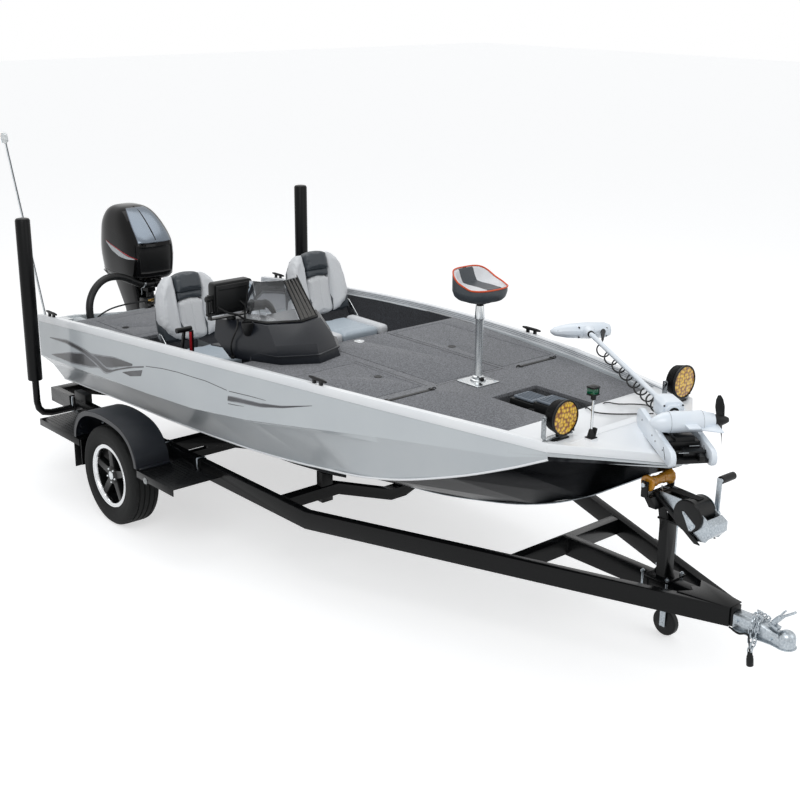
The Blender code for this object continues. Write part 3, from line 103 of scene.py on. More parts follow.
# Noise of a real grain, in millimetres, in colour and in relief
def grain(finish, sizeMm, dark, light, relief=0.2, depthMm=0.4, detail=5.0, stretch=(1, 1, 1)):
    tree = finish.node_tree
    shader = tree.nodes["Principled BSDF"]
    place = addNode(tree, "ShaderNodeTexCoord")
    turned = addNode(tree, "ShaderNodeMapping", {"Scale": stretch}, {"Vector": place.outputs["Object"]})
    noise = addNode(
        tree, "ShaderNodeTexNoise", {"Scale": 1000 / sizeMm, "Detail": detail}, {"Vector": turned.outputs[0]}
    )
    ramp = addNode(tree, "ShaderNodeValToRGB", None, {"Fac": noise.outputs["Fac"]})
    for stop, place, shade in zip(ramp.color_ramp.elements, (0.34, 0.66), (dark, light)):
        stop.position = place
        stop.color = hexColour(shade)
    tree.links.new(ramp.outputs[0], shader.inputs["Base Color"])
    if relief:
        bump = addNode(
            tree, "ShaderNodeBump", {"Strength": relief, "Distance": depthMm / 1000},
            {"Height": noise.outputs["Fac"]},
        )
        tree.links.new(bump.outputs[0], shader.inputs["Normal"])
    return finish


# Finishes, named for what the real ones are, except where a name says painted shade or a painted highlight. The
# comment says what each gives the eye.
# Gloss black powder coat on steel: deep black, a soft orange peel in the highlights
powderCoat = grain(newFinish("glossPowderCoat", "08090a", 0.24, Specular_IOR_Level=0.18), 3, "060708", "0b0c0d", 0.12)
# Electroplated zinc: blue-white crystalline bloom
zincPlate = grain(newFinish("brightZincPlate", "a9b0b5", 0.3, 1.0), 9, "98a0a7", "b8bfc4", 0.04)
darkZinc = grain(newFinish("blackZinc", "2a2b2d", 0.34, 0.7), 9, "222325", "37383a", 0.05)
# Machined and polished wheel alloy
polishedAlloy = grain(newFinish("polishedAlloy", "d9dbdc", 0.14, 1.0), 5, "cfd1d3", "e2e3e4", 0.04)
# Drawn stainless tube with a brushed length
polishedSteel = grain(
    newFinish("brushedStainless", "cfd2d4", 0.2, 1.0), 6, "bfc3c6", "dcdfe0", 0.05, stretch=(1, 1, 0.08)
)
# Mill-finish hull aluminium with rolling streaks along the boat. Its base colour and tint are painted dark: painted
# shade and a painted dark reflection under the hull
paintedShadeAluminium = grain(
    newFinish(
        "paintedShadeAluminium", "1c1d1f", 0.2, 1.0, Specular_Tint=hexColour("6a6b6d")
    ), 60, "0c0d0f", "38393b", 0.1, 0.5, 6.0, (0.1, 1, 1)
)
tyreRubber = grain(newFinish("tyreRubber", "161717", 0.8, Specular_IOR_Level=0.3), 5, "121313", "1c1d1d", 0.25)
mouldedBlack = grain(newFinish("mouldedAbs", "0c0d0e", 0.42, Specular_IOR_Level=0.25), 2.5, "090a0b", "101112", 0.2)
# Thermoformed ABS with a leather-like grain: satin, never mirror-like
grainedBlack = grain(newFinish("grainedAbs", "15181e", 0.34, Specular_IOR_Level=0.45), 4, "12151b", "1a1e25", 0.25)
poleCover = grain(newFinish("poleCoverPvc", "090a0b", 0.32, Specular_IOR_Level=0.16), 8, "07080a", "0c0d0e", 0.12)
# Two-pack hull enamel, a cool off-white with a long soft sheen
hullPaint = grain(
    newFinish("hullEnamel", "c9cfd3", 0.26, Coat_Weight=0.3, Coat_Roughness=0.1), 400, "c8ced2", "cdd3d6", 0.0
)
# The hull enamel again, darker: painted shade on the lower side panel that tucks under below the crease
shadedLowerPaint = grain(
    newFinish("hullEnamelLow", "bfc5c9", 0.3, Coat_Weight=0.3, Coat_Roughness=0.12), 400, "bdc3c7", "c3c8cb", 0.0
)
whiteTrim = grain(newFinish("whiteExtrusion", "f3f6f8", 0.3, Coat_Weight=0.2), 300, "f1f4f7", "f6f8fa", 0.0)
whiteShell = grain(newFinish("whiteCastShell", "e6eef6", 0.28, Coat_Weight=0.3), 120, "e3ecf5", "eaf1f8", 0.0)
# Cut-pile marine carpet in heather grey; its tufts are about 6 mm
deckCarpet = grain(
    newFinish("marineCarpet", "66686c", 0.95, Sheen_Weight=0.2), 6, "46484c", "85878c", 0.8, 2.0, 8.0
)
# The carpet darkened for the cockpit's walls and floor: painted shade in the cockpit's recess
shadedWallCarpet = grain(newFinish("wallCarpet", "26282c", 0.95, Sheen_Weight=0.2), 9, "191b1f", "383b42", 0.9, 2.0, 8.0)
# The carpet darkened for the lockers' insides: painted shade in the recesses
trayCarpet = grain(newFinish("trayCarpet", "3c3e41", 0.95, Sheen_Weight=0.2), 9, "26282b", "55575b", 0.9, 2.0, 8.0)
bunkCarpet = grain(newFinish("bunkCarpet", "2b2c2e", 0.95), 9, "1d1e20", "3c3d3f", 0.8, 2.0)
# Expanded marine vinyl: fine leather grain, satin
lightVinyl = grain(newFinish("lightMarineVinyl", "d6d9dc", 0.44), 3, "cfd2d5", "dddfe2", 0.25)
paleVinyl = grain(newFinish("paleMarineVinyl", "cfd1d3", 0.42), 3, "c9cbce", "d6d8da", 0.25)
darkVinyl = grain(newFinish("charcoalMarineVinyl", "343a40", 0.42), 3, "2e343a", "3b4248", 0.2)
slateVinyl = grain(newFinish("slateMarineVinyl", "b0bcc6", 0.44), 3, "a8b4be", "b8c3cc", 0.2)
orangeCord = grain(newFinish("orangePiping", "d9501f", 0.45), 4, "cc471a", "e35a28", 0.2)
# Smoked cast acrylic: a light grey you see the helm through, with sharp gloss
smokedAcrylic = grain(
    newFinish("smokedAcrylic", "e4e8ec", 0.02, Transmission_Weight=1.0, IOR=1.49), 200, "e0e4e8", "e9ecef", 0.0
)
tintedAcrylic = grain(
    newFinish("tintedAcrylic", "5a5854", 0.08, Transmission_Weight=0.35, IOR=1.49), 200, "565450", "5e5c58", 0.0
)
# Wet-look cowl lacquer
cowlLacquer = grain(
    newFinish("cowlLacquer", "030304", 0.07, Specular_IOR_Level=0.18), 80, "040405", "070708", 0.0
)
# Grey metallic patch on the cowl's forward-sloping top: a painted highlight of the sky's reflection
paintedHighlightPanel = grain(newFinish("cowlTopPanel", "68717b", 0.26, 0.8, Coat_Weight=0.3), 60, "69727c", "6b747e", 0.0)
satinBlack = grain(newFinish("satinBlackPaint", "0b0c0d", 0.32, Specular_IOR_Level=0.25), 4, "08090a", "0f1011", 0.1)
amberUrethane = grain(
    newFinish("amberUrethane", "d8952c", 0.2, Transmission_Weight=0.15, IOR=1.5), 200, "d3902a", "dd9b33", 0.0,
)
hoseRubber = grain(newFinish("hoseRubber", "0f1011", 0.4, Specular_IOR_Level=0.35), 5, "0c0d0e", "141516", 0.2)
redAccent = grain(newFinish("redAccent", "b3202a", 0.3), 10, "a51b25", "c02833", 0.05)
silverAccent = grain(newFinish("silverFilm", "a9adb0", 0.3, 0.5), 10, "9da1a5", "b6babd", 0.05)
graphiteFilm = grain(
    newFinish("graphiteFilm", "2c2d31", 0.3, Coat_Weight=0.3), 90, "1a1b1d", "4a4c52", 0.0, stretch=(0.3, 1, 1)
)
greyFilm = grain(newFinish("greyFilm", "85888d", 0.3, Coat_Weight=0.3), 60, "74777c", "9a9da2", 0.0)
chromeWire = grain(newFinish("chromeWire", "8d9194", 0.24, 1.0), 9, "7f8386", "9a9ea1", 0.04)
grooveShade = grain(newFinish("grooveShade", "8d949b", 0.5), 20, "878e95", "939aa1", 0.0)
brassFitting = grain(newFinish("brass", "b79452", 0.25, 1.0), 6, "a88648", "c6a463", 0.05)
greenLens = grain(newFinish("greenLens", "0f5a3c", 0.1, Transmission_Weight=0.3), 10, "0a4a30", "147050", 0.1)
redLens = grain(newFinish("redLens", "8a1420", 0.1, Transmission_Weight=0.3), 10, "7a101a", "9a1a28", 0.1)
clearLens = grain(newFinish("clearLens", "dfe3e4", 0.08, Transmission_Weight=0.6), 10, "d6dadb", "e8ebec", 0.1)
print("finishes mixed")


# Honeycomb of moulded lens cells, 14 mm across, with a yellow painted glint at each cell's middle and dark amber
# painted shade towards its rim
def honeycombFinish():
    finish = newFinish("amberHoneycomb", "d98a12", 0.16, Coat_Weight=0.6, Coat_Roughness=0.05)
    tree = finish.node_tree
    shader = tree.nodes["Principled BSDF"]
    place = addNode(tree, "ShaderNodeTexCoord")
    cells = addNode(
        tree, "ShaderNodeTexVoronoi", {"Scale": 1000 / 19, "Randomness": 0.65}, {"Vector": place.outputs["Object"]}
    )
    ramp = addNode(tree, "ShaderNodeValToRGB", None, {"Fac": cells.outputs["Distance"]})
    # Yellow at each cell's middle is a painted glint, dark amber towards its rim painted shade
    for stop, where, shade in zip(ramp.color_ramp.elements, (0.22, 0.66), ("ffcf34", "8c4e04")):
        stop.position = where
        stop.color = hexColour(shade)
    bump = addNode(
        tree, "ShaderNodeBump", {"Strength": 0.9, "Distance": 0.004}, {"Height": cells.outputs["Distance"]}
    )
    tree.links.new(ramp.outputs[0], shader.inputs["Base Color"])
    tree.links.new(bump.outputs[0], shader.inputs["Normal"])
    return finish


honeycomb = honeycombFinish()


# Modelling, as by hand
def only(piece):
    bpy.ops.object.select_all(action="DESELECT")
    piece.select_set(True)
    bpy.context.view_layer.objects.active = piece


def editAll(piece):
    only(piece)
    bpy.ops.object.mode_set(mode="EDIT")
    bpy.ops.mesh.select_all(action="SELECT")


def endEdit():
    bpy.ops.object.mode_set(mode="OBJECT")


# Puts the object's place and turn into its mesh
def settle(piece):
    only(piece)
    bpy.ops.object.transform_apply(location=True, rotation=True, scale=True)
    return piece


def modify(piece, kind, **settings):
    only(piece)
    change = piece.modifiers.new(kind.lower(), kind)
    for key, value in settings.items():
        setattr(change, key, value)
    bpy.ops.object.modifier_apply(modifier=change.name)
    return piece


def rounded(piece, widthMm, segments=2):
    return modify(
        piece, "BEVEL", width=widthMm / 1000, segments=segments, limit_method="ANGLE",
        angle_limit=math.radians(32), use_clamp_overlap=True,
    )


# A block between two corners, in the axle's X
def blockOf(x, y, z, roundMm=0, segments=2):
    bpy.ops.object.select_all(action="DESELECT")
    middle = at(sum(x) / 2, sum(y) / 2, sum(z) / 2)
    bpy.ops.mesh.primitive_cube_add(size=1, location=middle)
    piece = bpy.context.object
    piece.scale = (x[1] - x[0], y[1] - y[0], z[1] - z[0])
    settle(piece)
    return rounded(piece, roundMm, segments) if roundMm else piece


# A flat bar from start to end, in frame points
def barOf(start, end, width, height, facing=up, roundMm=0):
    start, end = Vector(start), Vector(end)
    way = (end - start).normalized()
    wide = Vector(facing).cross(way).normalized()
    tall = way.cross(wide)
    bpy.ops.object.select_all(action="DESELECT")
    bpy.ops.mesh.primitive_cube_add(size=1)
    piece = bpy.context.object
    piece.data.transform(Matrix.Diagonal(((end - start).length, width, height, 1)))
    turn = Matrix((way, wide, tall)).transposed().to_4x4()
    turn.translation = (start + end) / 2
    piece.data.transform(turn)
    return rounded(piece, roundMm) if roundMm else piece


# Turned on a lathe: profile rows are distance along the axis and radius
def turnedOf(start, axis, profile, sides=32, openEnds=False):
    bpy.ops.object.select_all(action="DESELECT")
    bpy.ops.mesh.primitive_circle_add(vertices=sides, radius=max(profile[0][1], 1e-5), location=(0, 0, profile[0][0]))
    piece = bpy.context.object
    editAll(piece)
    if not openEnds:
        bpy.ops.mesh.edge_face_add()
        bpy.ops.mesh.select_all(action="SELECT")
    for before, after in zip(profile, profile[1:]):
        bpy.ops.mesh.extrude_region_move(TRANSFORM_OT_translate={"value": (0, 0, after[0] - before[0])})
        share = max(after[1], 1e-5) / max(before[1], 1e-5)
        bpy.ops.transform.resize(value=(share, share, 1), center_override=(0, 0, after[0]))
    bpy.ops.mesh.select_all(action="SELECT")
    bpy.ops.mesh.normals_make_consistent(inside=False)
    endEdit()
    settle(piece)
    turn = Vector(axis).to_track_quat("Z", "Y").to_matrix().to_4x4()
    turn.translation = start
    piece.data.transform(turn)
    return piece


def rodOf(start, end, radius, sides=20, roundMm=0):
    start, end = Vector(start), Vector(end)
    piece = turnedOf(start, end - start, [(0, radius), ((end - start).length, radius)], sides)
    return rounded(piece, roundMm) if roundMm else piece


# A plate cut to an outline, then drawn out between low and high along axis x, y or z
def plateOf(outline, axis, low, high, roundMm=0):
    bpy.ops.object.select_all(action="DESELECT")
    bpy.ops.mesh.primitive_circle_add(vertices=len(outline), radius=1, fill_type="NGON")
    piece = bpy.context.object
    lay = {"x": lambda p: at(low, *p), "y": lambda p: at(p[0], low, p[1]), "z": lambda p: at(*p, low)}[axis]
    for vertex, point in zip(piece.data.vertices, outline):
        vertex.co = lay(point)
    drawn = {"x": (high - low, 0, 0), "y": (0, high - low, 0), "z": (0, 0, high - low)}[axis]
    editAll(piece)
    bpy.ops.mesh.extrude_region_move(TRANSFORM_OT_translate={"value": drawn})
    bpy.ops.mesh.select_all(action="SELECT")
    bpy.ops.mesh.normals_make_consistent(inside=False)
    endEdit()
    return rounded(piece, roundMm) if roundMm else piece


# A tube bent along points in the frame
def tubeOf(points, radius, sides=12, smoothPath=True):
    line = bpy.data.curves.new("bentTube", "CURVE")
    line.dimensions = "3D"
    line.bevel_depth = radius
    line.bevel_resolution = max(1, sides // 4 - 1)
    line.use_fill_caps = True
    line.resolution_u = 6
    run = line.splines.new("BEZIER" if smoothPath else "POLY")
    spots = run.bezier_points if smoothPath else run.points
    spots.add(len(points) - 1)
    for spot, point in zip(spots, points):
        if smoothPath:
            spot.co = point
            spot.handle_left_type = spot.handle_right_type = "AUTO"
        else:
            spot.co = (*point, 1)
    piece = bpy.data.objects.new("bentTube", line)
    bpy.context.scene.collection.objects.link(piece)
    only(piece)
    bpy.ops.object.convert(target="MESH")
    piece = bpy.context.object
    editAll(piece)
    bpy.ops.mesh.remove_doubles(threshold=0.00001)
    bpy.ops.mesh.normals_make_consistent(inside=False)
    endEdit()
    return piece


# Rings of the same number of points, skinned one to the next
def skinnedOf(rings, closed=True, capped=True, roundMm=0):
    rows, count = len(rings), len(rings[0])
    columns = count + 1 if closed else count
    bpy.ops.object.select_all(action="DESELECT")
    bpy.ops.mesh.primitive_grid_add(x_subdivisions=columns - 1, y_subdivisions=rows - 1, size=1)
    piece = bpy.context.object
    for row, ring in enumerate(rings):
        for column in range(columns):
            piece.data.vertices[row * columns + column].co = ring[column % count]
    editAll(piece)
    bpy.ops.mesh.remove_doubles(threshold=0.000002)
    if capped:
        bpy.ops.mesh.fill_holes(sides=0)
    bpy.ops.mesh.normals_make_consistent(inside=False)
    endEdit()
    return rounded(piece, roundMm) if roundMm else piece


# The pieces become one, with its finish, on its body and under its name
def made(name, parts, finish, body="boat", slotName="black_plastic", smoothAngle=40):
    parts = list(parts)
    only(parts[0])
    for part in parts[1:]:
        part.select_set(True)
    if len(parts) > 1:
        bpy.ops.object.join()
    piece = parts[0]
    piece.name = name
    piece.data.name = name
    only(piece)
    if smoothAngle:
        bpy.ops.object.shade_smooth_by_angle(angle=math.radians(smoothAngle))
    if finish:
        piece.data.materials.clear()
        piece.data.materials.append(finish)
    if body:
        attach(piece, body)
    return piece


# The same on the other side of the boat, with its faces turned back out
def mirrored(piece, name, body):
    double = piece.copy()
    double.data = piece.data.copy()
    for key in list(double.keys()):
        del double[key]
    double.parent = None
    double.matrix_world = Matrix.Identity(4)
    double.name = double.data.name = name
    bpy.context.scene.collection.objects.link(double)
    double.data.transform(Matrix.Diagonal((1, -1, 1, 1)))
    double.data.flip_normals()
    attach(double, body)
    return double


# Gives the faces whose centre and normal pass the test another finish
def colourFaces(piece, finish, test):
    piece.data.materials.append(finish)
    slot = len(piece.data.materials) - 1
    for face in piece.data.polygons:
        if test(face.center - Vector((axleX, 0, 0)), face.normal):
            face.material_index = slot


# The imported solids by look: finish, edge rounding in mm, smooth angle, slot of the record, nodes
dressing = [
    (powderCoat, 4, 30, "black_paint", ("frame_rail_port", "frame_rail_starboard", "tongue")),
    (powderCoat, 3, 30, "black_paint", ("crossmember_aft", "crossmember_middle", "crossmember_forward")),
    (powderCoat, 2, 35, "black_paint", ("axle",)),
    (powderCoat, 1.5, 35, "black_paint", ("winch_post",)),
    (poleCover, 3, 40, "black_plastic", ("guide_pole_cover_port", "guide_pole_cover_starboard")),
    (bunkCarpet, 5, 30, "bunk_carpet", ("bunk_port", "bunk_starboard")),
    (satinBlack, 2, 35, "black_paint", ("rim_port", "rim_starboard")),
    (zincPlate, 1.5, 35, "zinc", ("winch_crank",)),
    (zincPlate, 1, 35, "zinc", ("jack",)),
    (mouldedBlack, 1, 35, "black_plastic", ("jack_wheel",)),
    (hullPaint, 0, 16, "hull_paint", ("hull",)),
    (whiteTrim, 3, 35, "white_trim", ("gunwale_port", "gunwale_starboard")),
    (whiteTrim, 4, 35, "white_trim", ("bow_cap",)),
    (deckCarpet, 2, 30, "carpet", ("front_deck", "aft_deck")),
    (deckCarpet, 3, 30, "carpet", ("front_lid_port", "front_lid_starboard", "front_lid_centre", "aft_lid")),
    (polishedSteel, 1, 35, "stainless", ("seat_post",)),
    (mouldedBlack, 3, 35, "black_plastic", ("foot_pedal", "fish_finder", "throttle_control")),
    (grainedBlack, 12, 32, "black_plastic", ("console",)),
    (smokedAcrylic, 1, 60, "smoked", ("windscreen",)),
    (mouldedBlack, 1, 50, "black_plastic", ("steering_wheel",)),
    (polishedSteel, 0, 40, "black_plastic", ("nav_light",)),
    (polishedSteel, 0, 40, "stainless", ("stern_light",)),
    (whiteShell, 1, 45, "white_trim", ("trolling_motor",)),
    (mouldedBlack, 0.5, 40, "black_plastic", ("trolling_propeller",)),
    (satinBlack, 4, 35, "black_paint", ("outboard_clamp",)),
    (satinBlack, 3, 35, "black_paint", ("outboard_swivel",)),
    (cowlLacquer, 14, 50, "gloss_black", ("outboard",)),
    (satinBlack, 0.8, 45, "black_paint", ("propeller",)),
]


def mergedCopy(nodeName, pieceName):
    piece = bpy.data.objects.new(pieceName, frame["nodes"][nodeName].data.copy())
    bpy.context.scene.collection.objects.link(piece)
    editAll(piece)
    bpy.ops.mesh.remove_doubles(threshold=0.00002)
    bpy.ops.mesh.dissolve_limited(angle_limit=math.radians(0.6))
    endEdit()
    return piece


def camel(text):
    first, *rest = text.split("_")
    return first + "".join(word.capitalize() for word in rest)


# The solid's own shape with rounded edges and its finish, standing for the solid
def dress(nodeName, finish, bevelMm, angle, slotName):
    piece = mergedCopy(nodeName, camel(nodeName))
    if bevelMm:
        rounded(piece, bevelMm)
    piece = made(camel(nodeName), [piece], finish, frame["nodes"][nodeName]["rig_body"], slotName, angle)
    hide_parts(nodeName)
    return piece


dressed = {name: dress(name, *look) for *look, names in dressing for name in names}
print("solids dressed")

# Hull: station from the axle, half beam, sheer height, keel, chine half width and height, crease height
hullLines = [
    (-1.296, 0.987, 1.119, 0.400, 0.810, 0.615, 0.732), (-0.80, 1.006, 1.168, 0.402, 0.810, 0.638, 0.785),
    (-0.30, 1.012, 1.210, 0.404, 0.810, 0.660, 0.820), (0.20, 1.002, 1.244, 0.406, 0.810, 0.677, 0.850),
    (0.70, 0.977, 1.271, 0.410, 0.805, 0.700, 0.880), (1.20, 0.934, 1.291, 0.424, 0.795, 0.733, 0.935),
    (1.70, 0.873, 1.304, 0.456, 0.785, 0.790, 1.010), (2.20, 0.793, 1.309, 0.543, 0.760, 0.865, 1.070),
    (2.65, 0.700, 1.307, 0.660, 0.690, 0.990, 1.125), (3.00, 0.619, 1.302, 0.812, 0.612, 1.120, 1.180),
    (3.2156, 0.566, 1.297, 0.940, 0.555, 1.215, 1.230), (3.40, 0.330, 1.261, 1.055, 0.322, 1.196, 1.205),
    (3.58, 0.086, 1.228, 1.150, 0.082, 1.168, 1.172),
]


def hullLine(column, x):
    for low, high in zip(hullLines, hullLines[1:]):
        if x <= high[0]:
            break
    share = (x - low[0]) / (high[0] - low[0])
    return low[column] + share * (high[column] - low[column])


def beam(x):
    return hullLine(1, x)


def sheer(x):
    return hullLine(2, x)


deckTop = 1.245
hull = dressed["hull"]


def belowChine(centre, normal):
    return normal.z < -0.12 and centre.z < hullLine(5, centre.x) + 0.006 and normal.y * centre.y >= -0.001


def insideCockpit(centre, normal):
    inward = normal.y * centre.y < 0.0001 or abs(normal.x) > 0.9 or normal.z > 0.2
    return inward and -0.47 < centre.x < 1.02 and abs(centre.y) < beam(centre.x) - 0.03 and centre.z > 0.69


def insideLockers(centre, normal):
    inward = normal.y * centre.y < 0.0001 or abs(normal.x) > 0.9 or normal.z > 0.5
    return 1.0 < centre.x < 2.95 and abs(centre.y) < 0.76 and 0.94 < centre.z < 1.23 and inward


# Side faces below the crease take the enamel with painted shade
colourFaces(hull, shadedLowerPaint, lambda c, n: c.z < hullLine(6, c.x) + 0.02 and abs(n.y) > 0.2 and n.z < 0.1)
# Faces below the chine take the aluminium painted dark with shade and reflection
colourFaces(hull, paintedShadeAluminium, belowChine)
# The cockpit's inner faces take the carpet with painted shade
colourFaces(hull, shadedWallCarpet, insideCockpit)
# The lockers' inner faces take the carpet with painted shade
colourFaces(hull, trayCarpet, insideLockers)

# Beads pressed along the chine and the keel
beads = []
for side in (1, -1):
    run = [at(row[0], side * (row[4] + 0.002), row[5] - 0.002) for row in hullLines[:11]]
    beads.append(tubeOf(run, 0.006, 8))
made("chineBeads", beads, whiteTrim, "boat", "hull_paint")
keelRuns = []
for offset in (-0.006, 0.006):
    keelRuns.append(tubeOf([at(row[0], offset, row[3] - 0.0005) for row in hullLines[:12]], 0.0055, 8))
made("keelBead", keelRuns, zincPlate, "boat", "hull_paint")
print("hull painted")


# Films on the hull's side: upper and lower edges from stern to bow, and the width share of a grey rim
sideFilms = {
    "sweep": {
        "upper": [(-1.114, .992), (-.834, 1.033), (-.584, 1.024), (-.429, 1.003), (-.309, .967), (-.238, .957),
                  (.006, 1.034), (.182, 1.076)],
        "lower": [(-1.117, .985), (-.848, 1.001), (-.626, .988), (-.449, .950), (-.310, .909), (-.133, .978),
                  (.053, 1.034), (.179, 1.065)],
        "rim": 0.22, "lift": 0.0013,
    },
    "lens": {
        "upper": [(-1.111, .868), (-.809, .952), (-.476, 1.015), (-.177, 1.058), (.045, 1.060)],
        "lower": [(-1.111, .864), (-.815, .871), (-.520, .905), (-.207, .974), (.040, 1.045)],
        "rim": 0.10, "lift": 0.0007,
    },
    "dart": {
        "upper": [(-.086, .976), (.030, 1.010), (.162, 1.045)],
        "lower": [(-.086, .972), (.009, .969), (.140, 1.000)],
        "rim": 0.0, "lift": 0.0008,
    },
    "tail": {
        "upper": [(1.042, 1.082), (1.115, 1.090), (1.321, 1.101), (1.503, 1.125), (1.747, 1.181)],
        "lower": [(1.035, 1.047), (1.180, 1.063), (1.332, 1.076), (1.516, 1.113), (1.745, 1.178)],
        "rim": 0.16, "lift": 0.0008,
    },
    "pinLine": {
        "upper": [(.206, 1.082), (.386, 1.107), (.557, 1.121), (.833, 1.128), (1.032, 1.114)],
        "lower": [(.206, 1.078), (.386, 1.103), (.557, 1.117), (.833, 1.124), (1.032, 1.110)],
        "rim": 0.0, "lift": 0.0008,
    },
    "pinLineFore": {
        "upper": [(1.053, 1.113), (1.227, 1.125), (1.375, 1.128)],
        "lower": [(1.053, 1.109), (1.227, 1.121), (1.375, 1.126)],
        "rim": 0.0, "lift": 0.0008,
    },
    "underLine": {
        "upper": [(1.040, 1.034), (1.104, 1.040), (1.186, 1.049)],
        "lower": [(1.040, 1.030), (1.104, 1.036), (1.186, 1.048)],
        "rim": 0.0, "lift": 0.0008,
    },
}


def evenly(points, count):
    lengths = [0.0]
    for a, b in zip(points, points[1:]):
        lengths.append(lengths[-1] + math.dist(a, b))
    spots = []
    for i in range(count):
        goal = lengths[-1] * i / (count - 1)
        k = max(j for j in range(len(points) - 1) if lengths[j] <= goal + 1e-9)
        share = (goal - lengths[k]) / (lengths[k + 1] - lengths[k])
        spots.append([a + (b - a) * share for a, b in zip(points[k], points[k + 1])])
    return spots


# A film laid on the hull from the side, following the panel under it
def filmOf(upper, lower, rim, lift, columns=36, panel=None):
    top, low = evenly(upper, columns), evenly(lower, columns)
    shares = (0, rim, 1 - rim, 1) if rim else (0, 0.5, 1)
    rings = []
    for share in shares:
        rings.append(
            [at(a[0] + (b[0] - a[0]) * share, -1.2, a[1] + (b[1] - a[1]) * share) for a, b in zip(top, low)]
        )
    film = skinnedOf(rings, closed=False, capped=False)
    if rim:
        for i, face in enumerate(film.data.polygons):
            face.material_index = 0 if i // (columns - 1) == 1 else 1
    modify(
        film, "SHRINKWRAP", target=panel or hull, wrap_method="PROJECT", use_project_y=True,
        use_positive_direction=True,
        use_negative_direction=False, offset=lift, use_project_x=False, use_project_z=False,
    )
    return modify(film, "SOLIDIFY", thickness=0.0004, offset=0)


for filmName, shape in sideFilms.items():
    film = filmOf(**shape)
    starboard = made(filmName + "FilmStarboard", [film], None, smoothAngle=0)
    starboard.data.materials.append(graphiteFilm)
    starboard.data.materials.append(greyFilm)
    mirrored(starboard, filmName + "FilmPort", "boat")
print("side films laid")


# Wheels: tyre with its grooves, polished rim edge, nuts and hub cap
wheel = {"track": 1.1045, "centreZ": 0.331, "beadR": 0.1915, "grooves": (-0.054, -0.018, 0.018, 0.054)}
tyreProfile = [(-0.079, wheel["beadR"]), (-0.083, 0.212), (-0.092, 0.222), (-0.094, 0.228), (-0.100, 0.240)]
tyreProfile += [
    (-0.1025, 0.262), (-0.101, 0.282), (-0.1015, 0.284), (-0.096, 0.305), (-0.090, 0.317), (-0.079, 0.3265)
]
for groove in wheel["grooves"]:
    tyreProfile += [
        (groove - 0.0052, 0.3295), (groove - 0.004, 0.3215), (groove + 0.004, 0.3215), (groove + 0.0052, 0.3295)
    ]
tyreProfile += [(-d, r) for d, r in reversed(tyreProfile[:11])]
tyreProfile += [(0.0785, 0.1913), (-0.0785, 0.1913)]


# Blocks cut across the tread, 60 of them round the wheel
def tyreOf(side, name, body):
    hub = at(0, side * wheel["track"], wheel["centreZ"])
    piece = turnedOf(hub, (0, side, 0), tyreProfile, 120, openEnds=True)
    editAll(piece)
    bpy.ops.mesh.remove_doubles(threshold=0.0002)
    bpy.ops.mesh.normals_make_consistent(inside=False)
    endEdit()
    for vertex in piece.data.vertices:
        flat = vertex.co - hub
        radius = math.hypot(flat.x, flat.z)
        turn = math.degrees(math.atan2(flat.z, flat.x)) % 6
        if radius > 0.3285 and abs(flat.y) > 0.058 and turn < 1.6:
            vertex.co = hub + Vector((flat.x * 0.976, flat.y, flat.z * 0.976))
    piece = made(name, [piece], tyreRubber, body, "tyre", 35)
    return piece


fender = {
    "arch": [(-0.395, 0.503), (-0.380, 0.580), (-0.315, 0.670), (-0.200, 0.728), (0.0, 0.750), (0.210, 0.729),
             (0.330, 0.670), (0.395, 0.580), (0.415, 0.503)],
}


# A smooth run through an outline's points
def flowing(points, steps):
    run = []
    for i in range(len(points) - 1):
        a, b = points[max(i - 1, 0)], points[i]
        c, d = points[i + 1], points[min(i + 2, len(points) - 1)]
        for k in range(steps):
            t = k / steps
            run.append(tuple(
                0.5 * (2 * q + (r - p) * t + (2 * p - 5 * q + 4 * r - s) * t * t + (3 * q - p - 3 * r + s) * t ** 3)
                for p, q, r, s in zip(a, b, c, d)
            ))
    return run + [tuple(points[-1])]


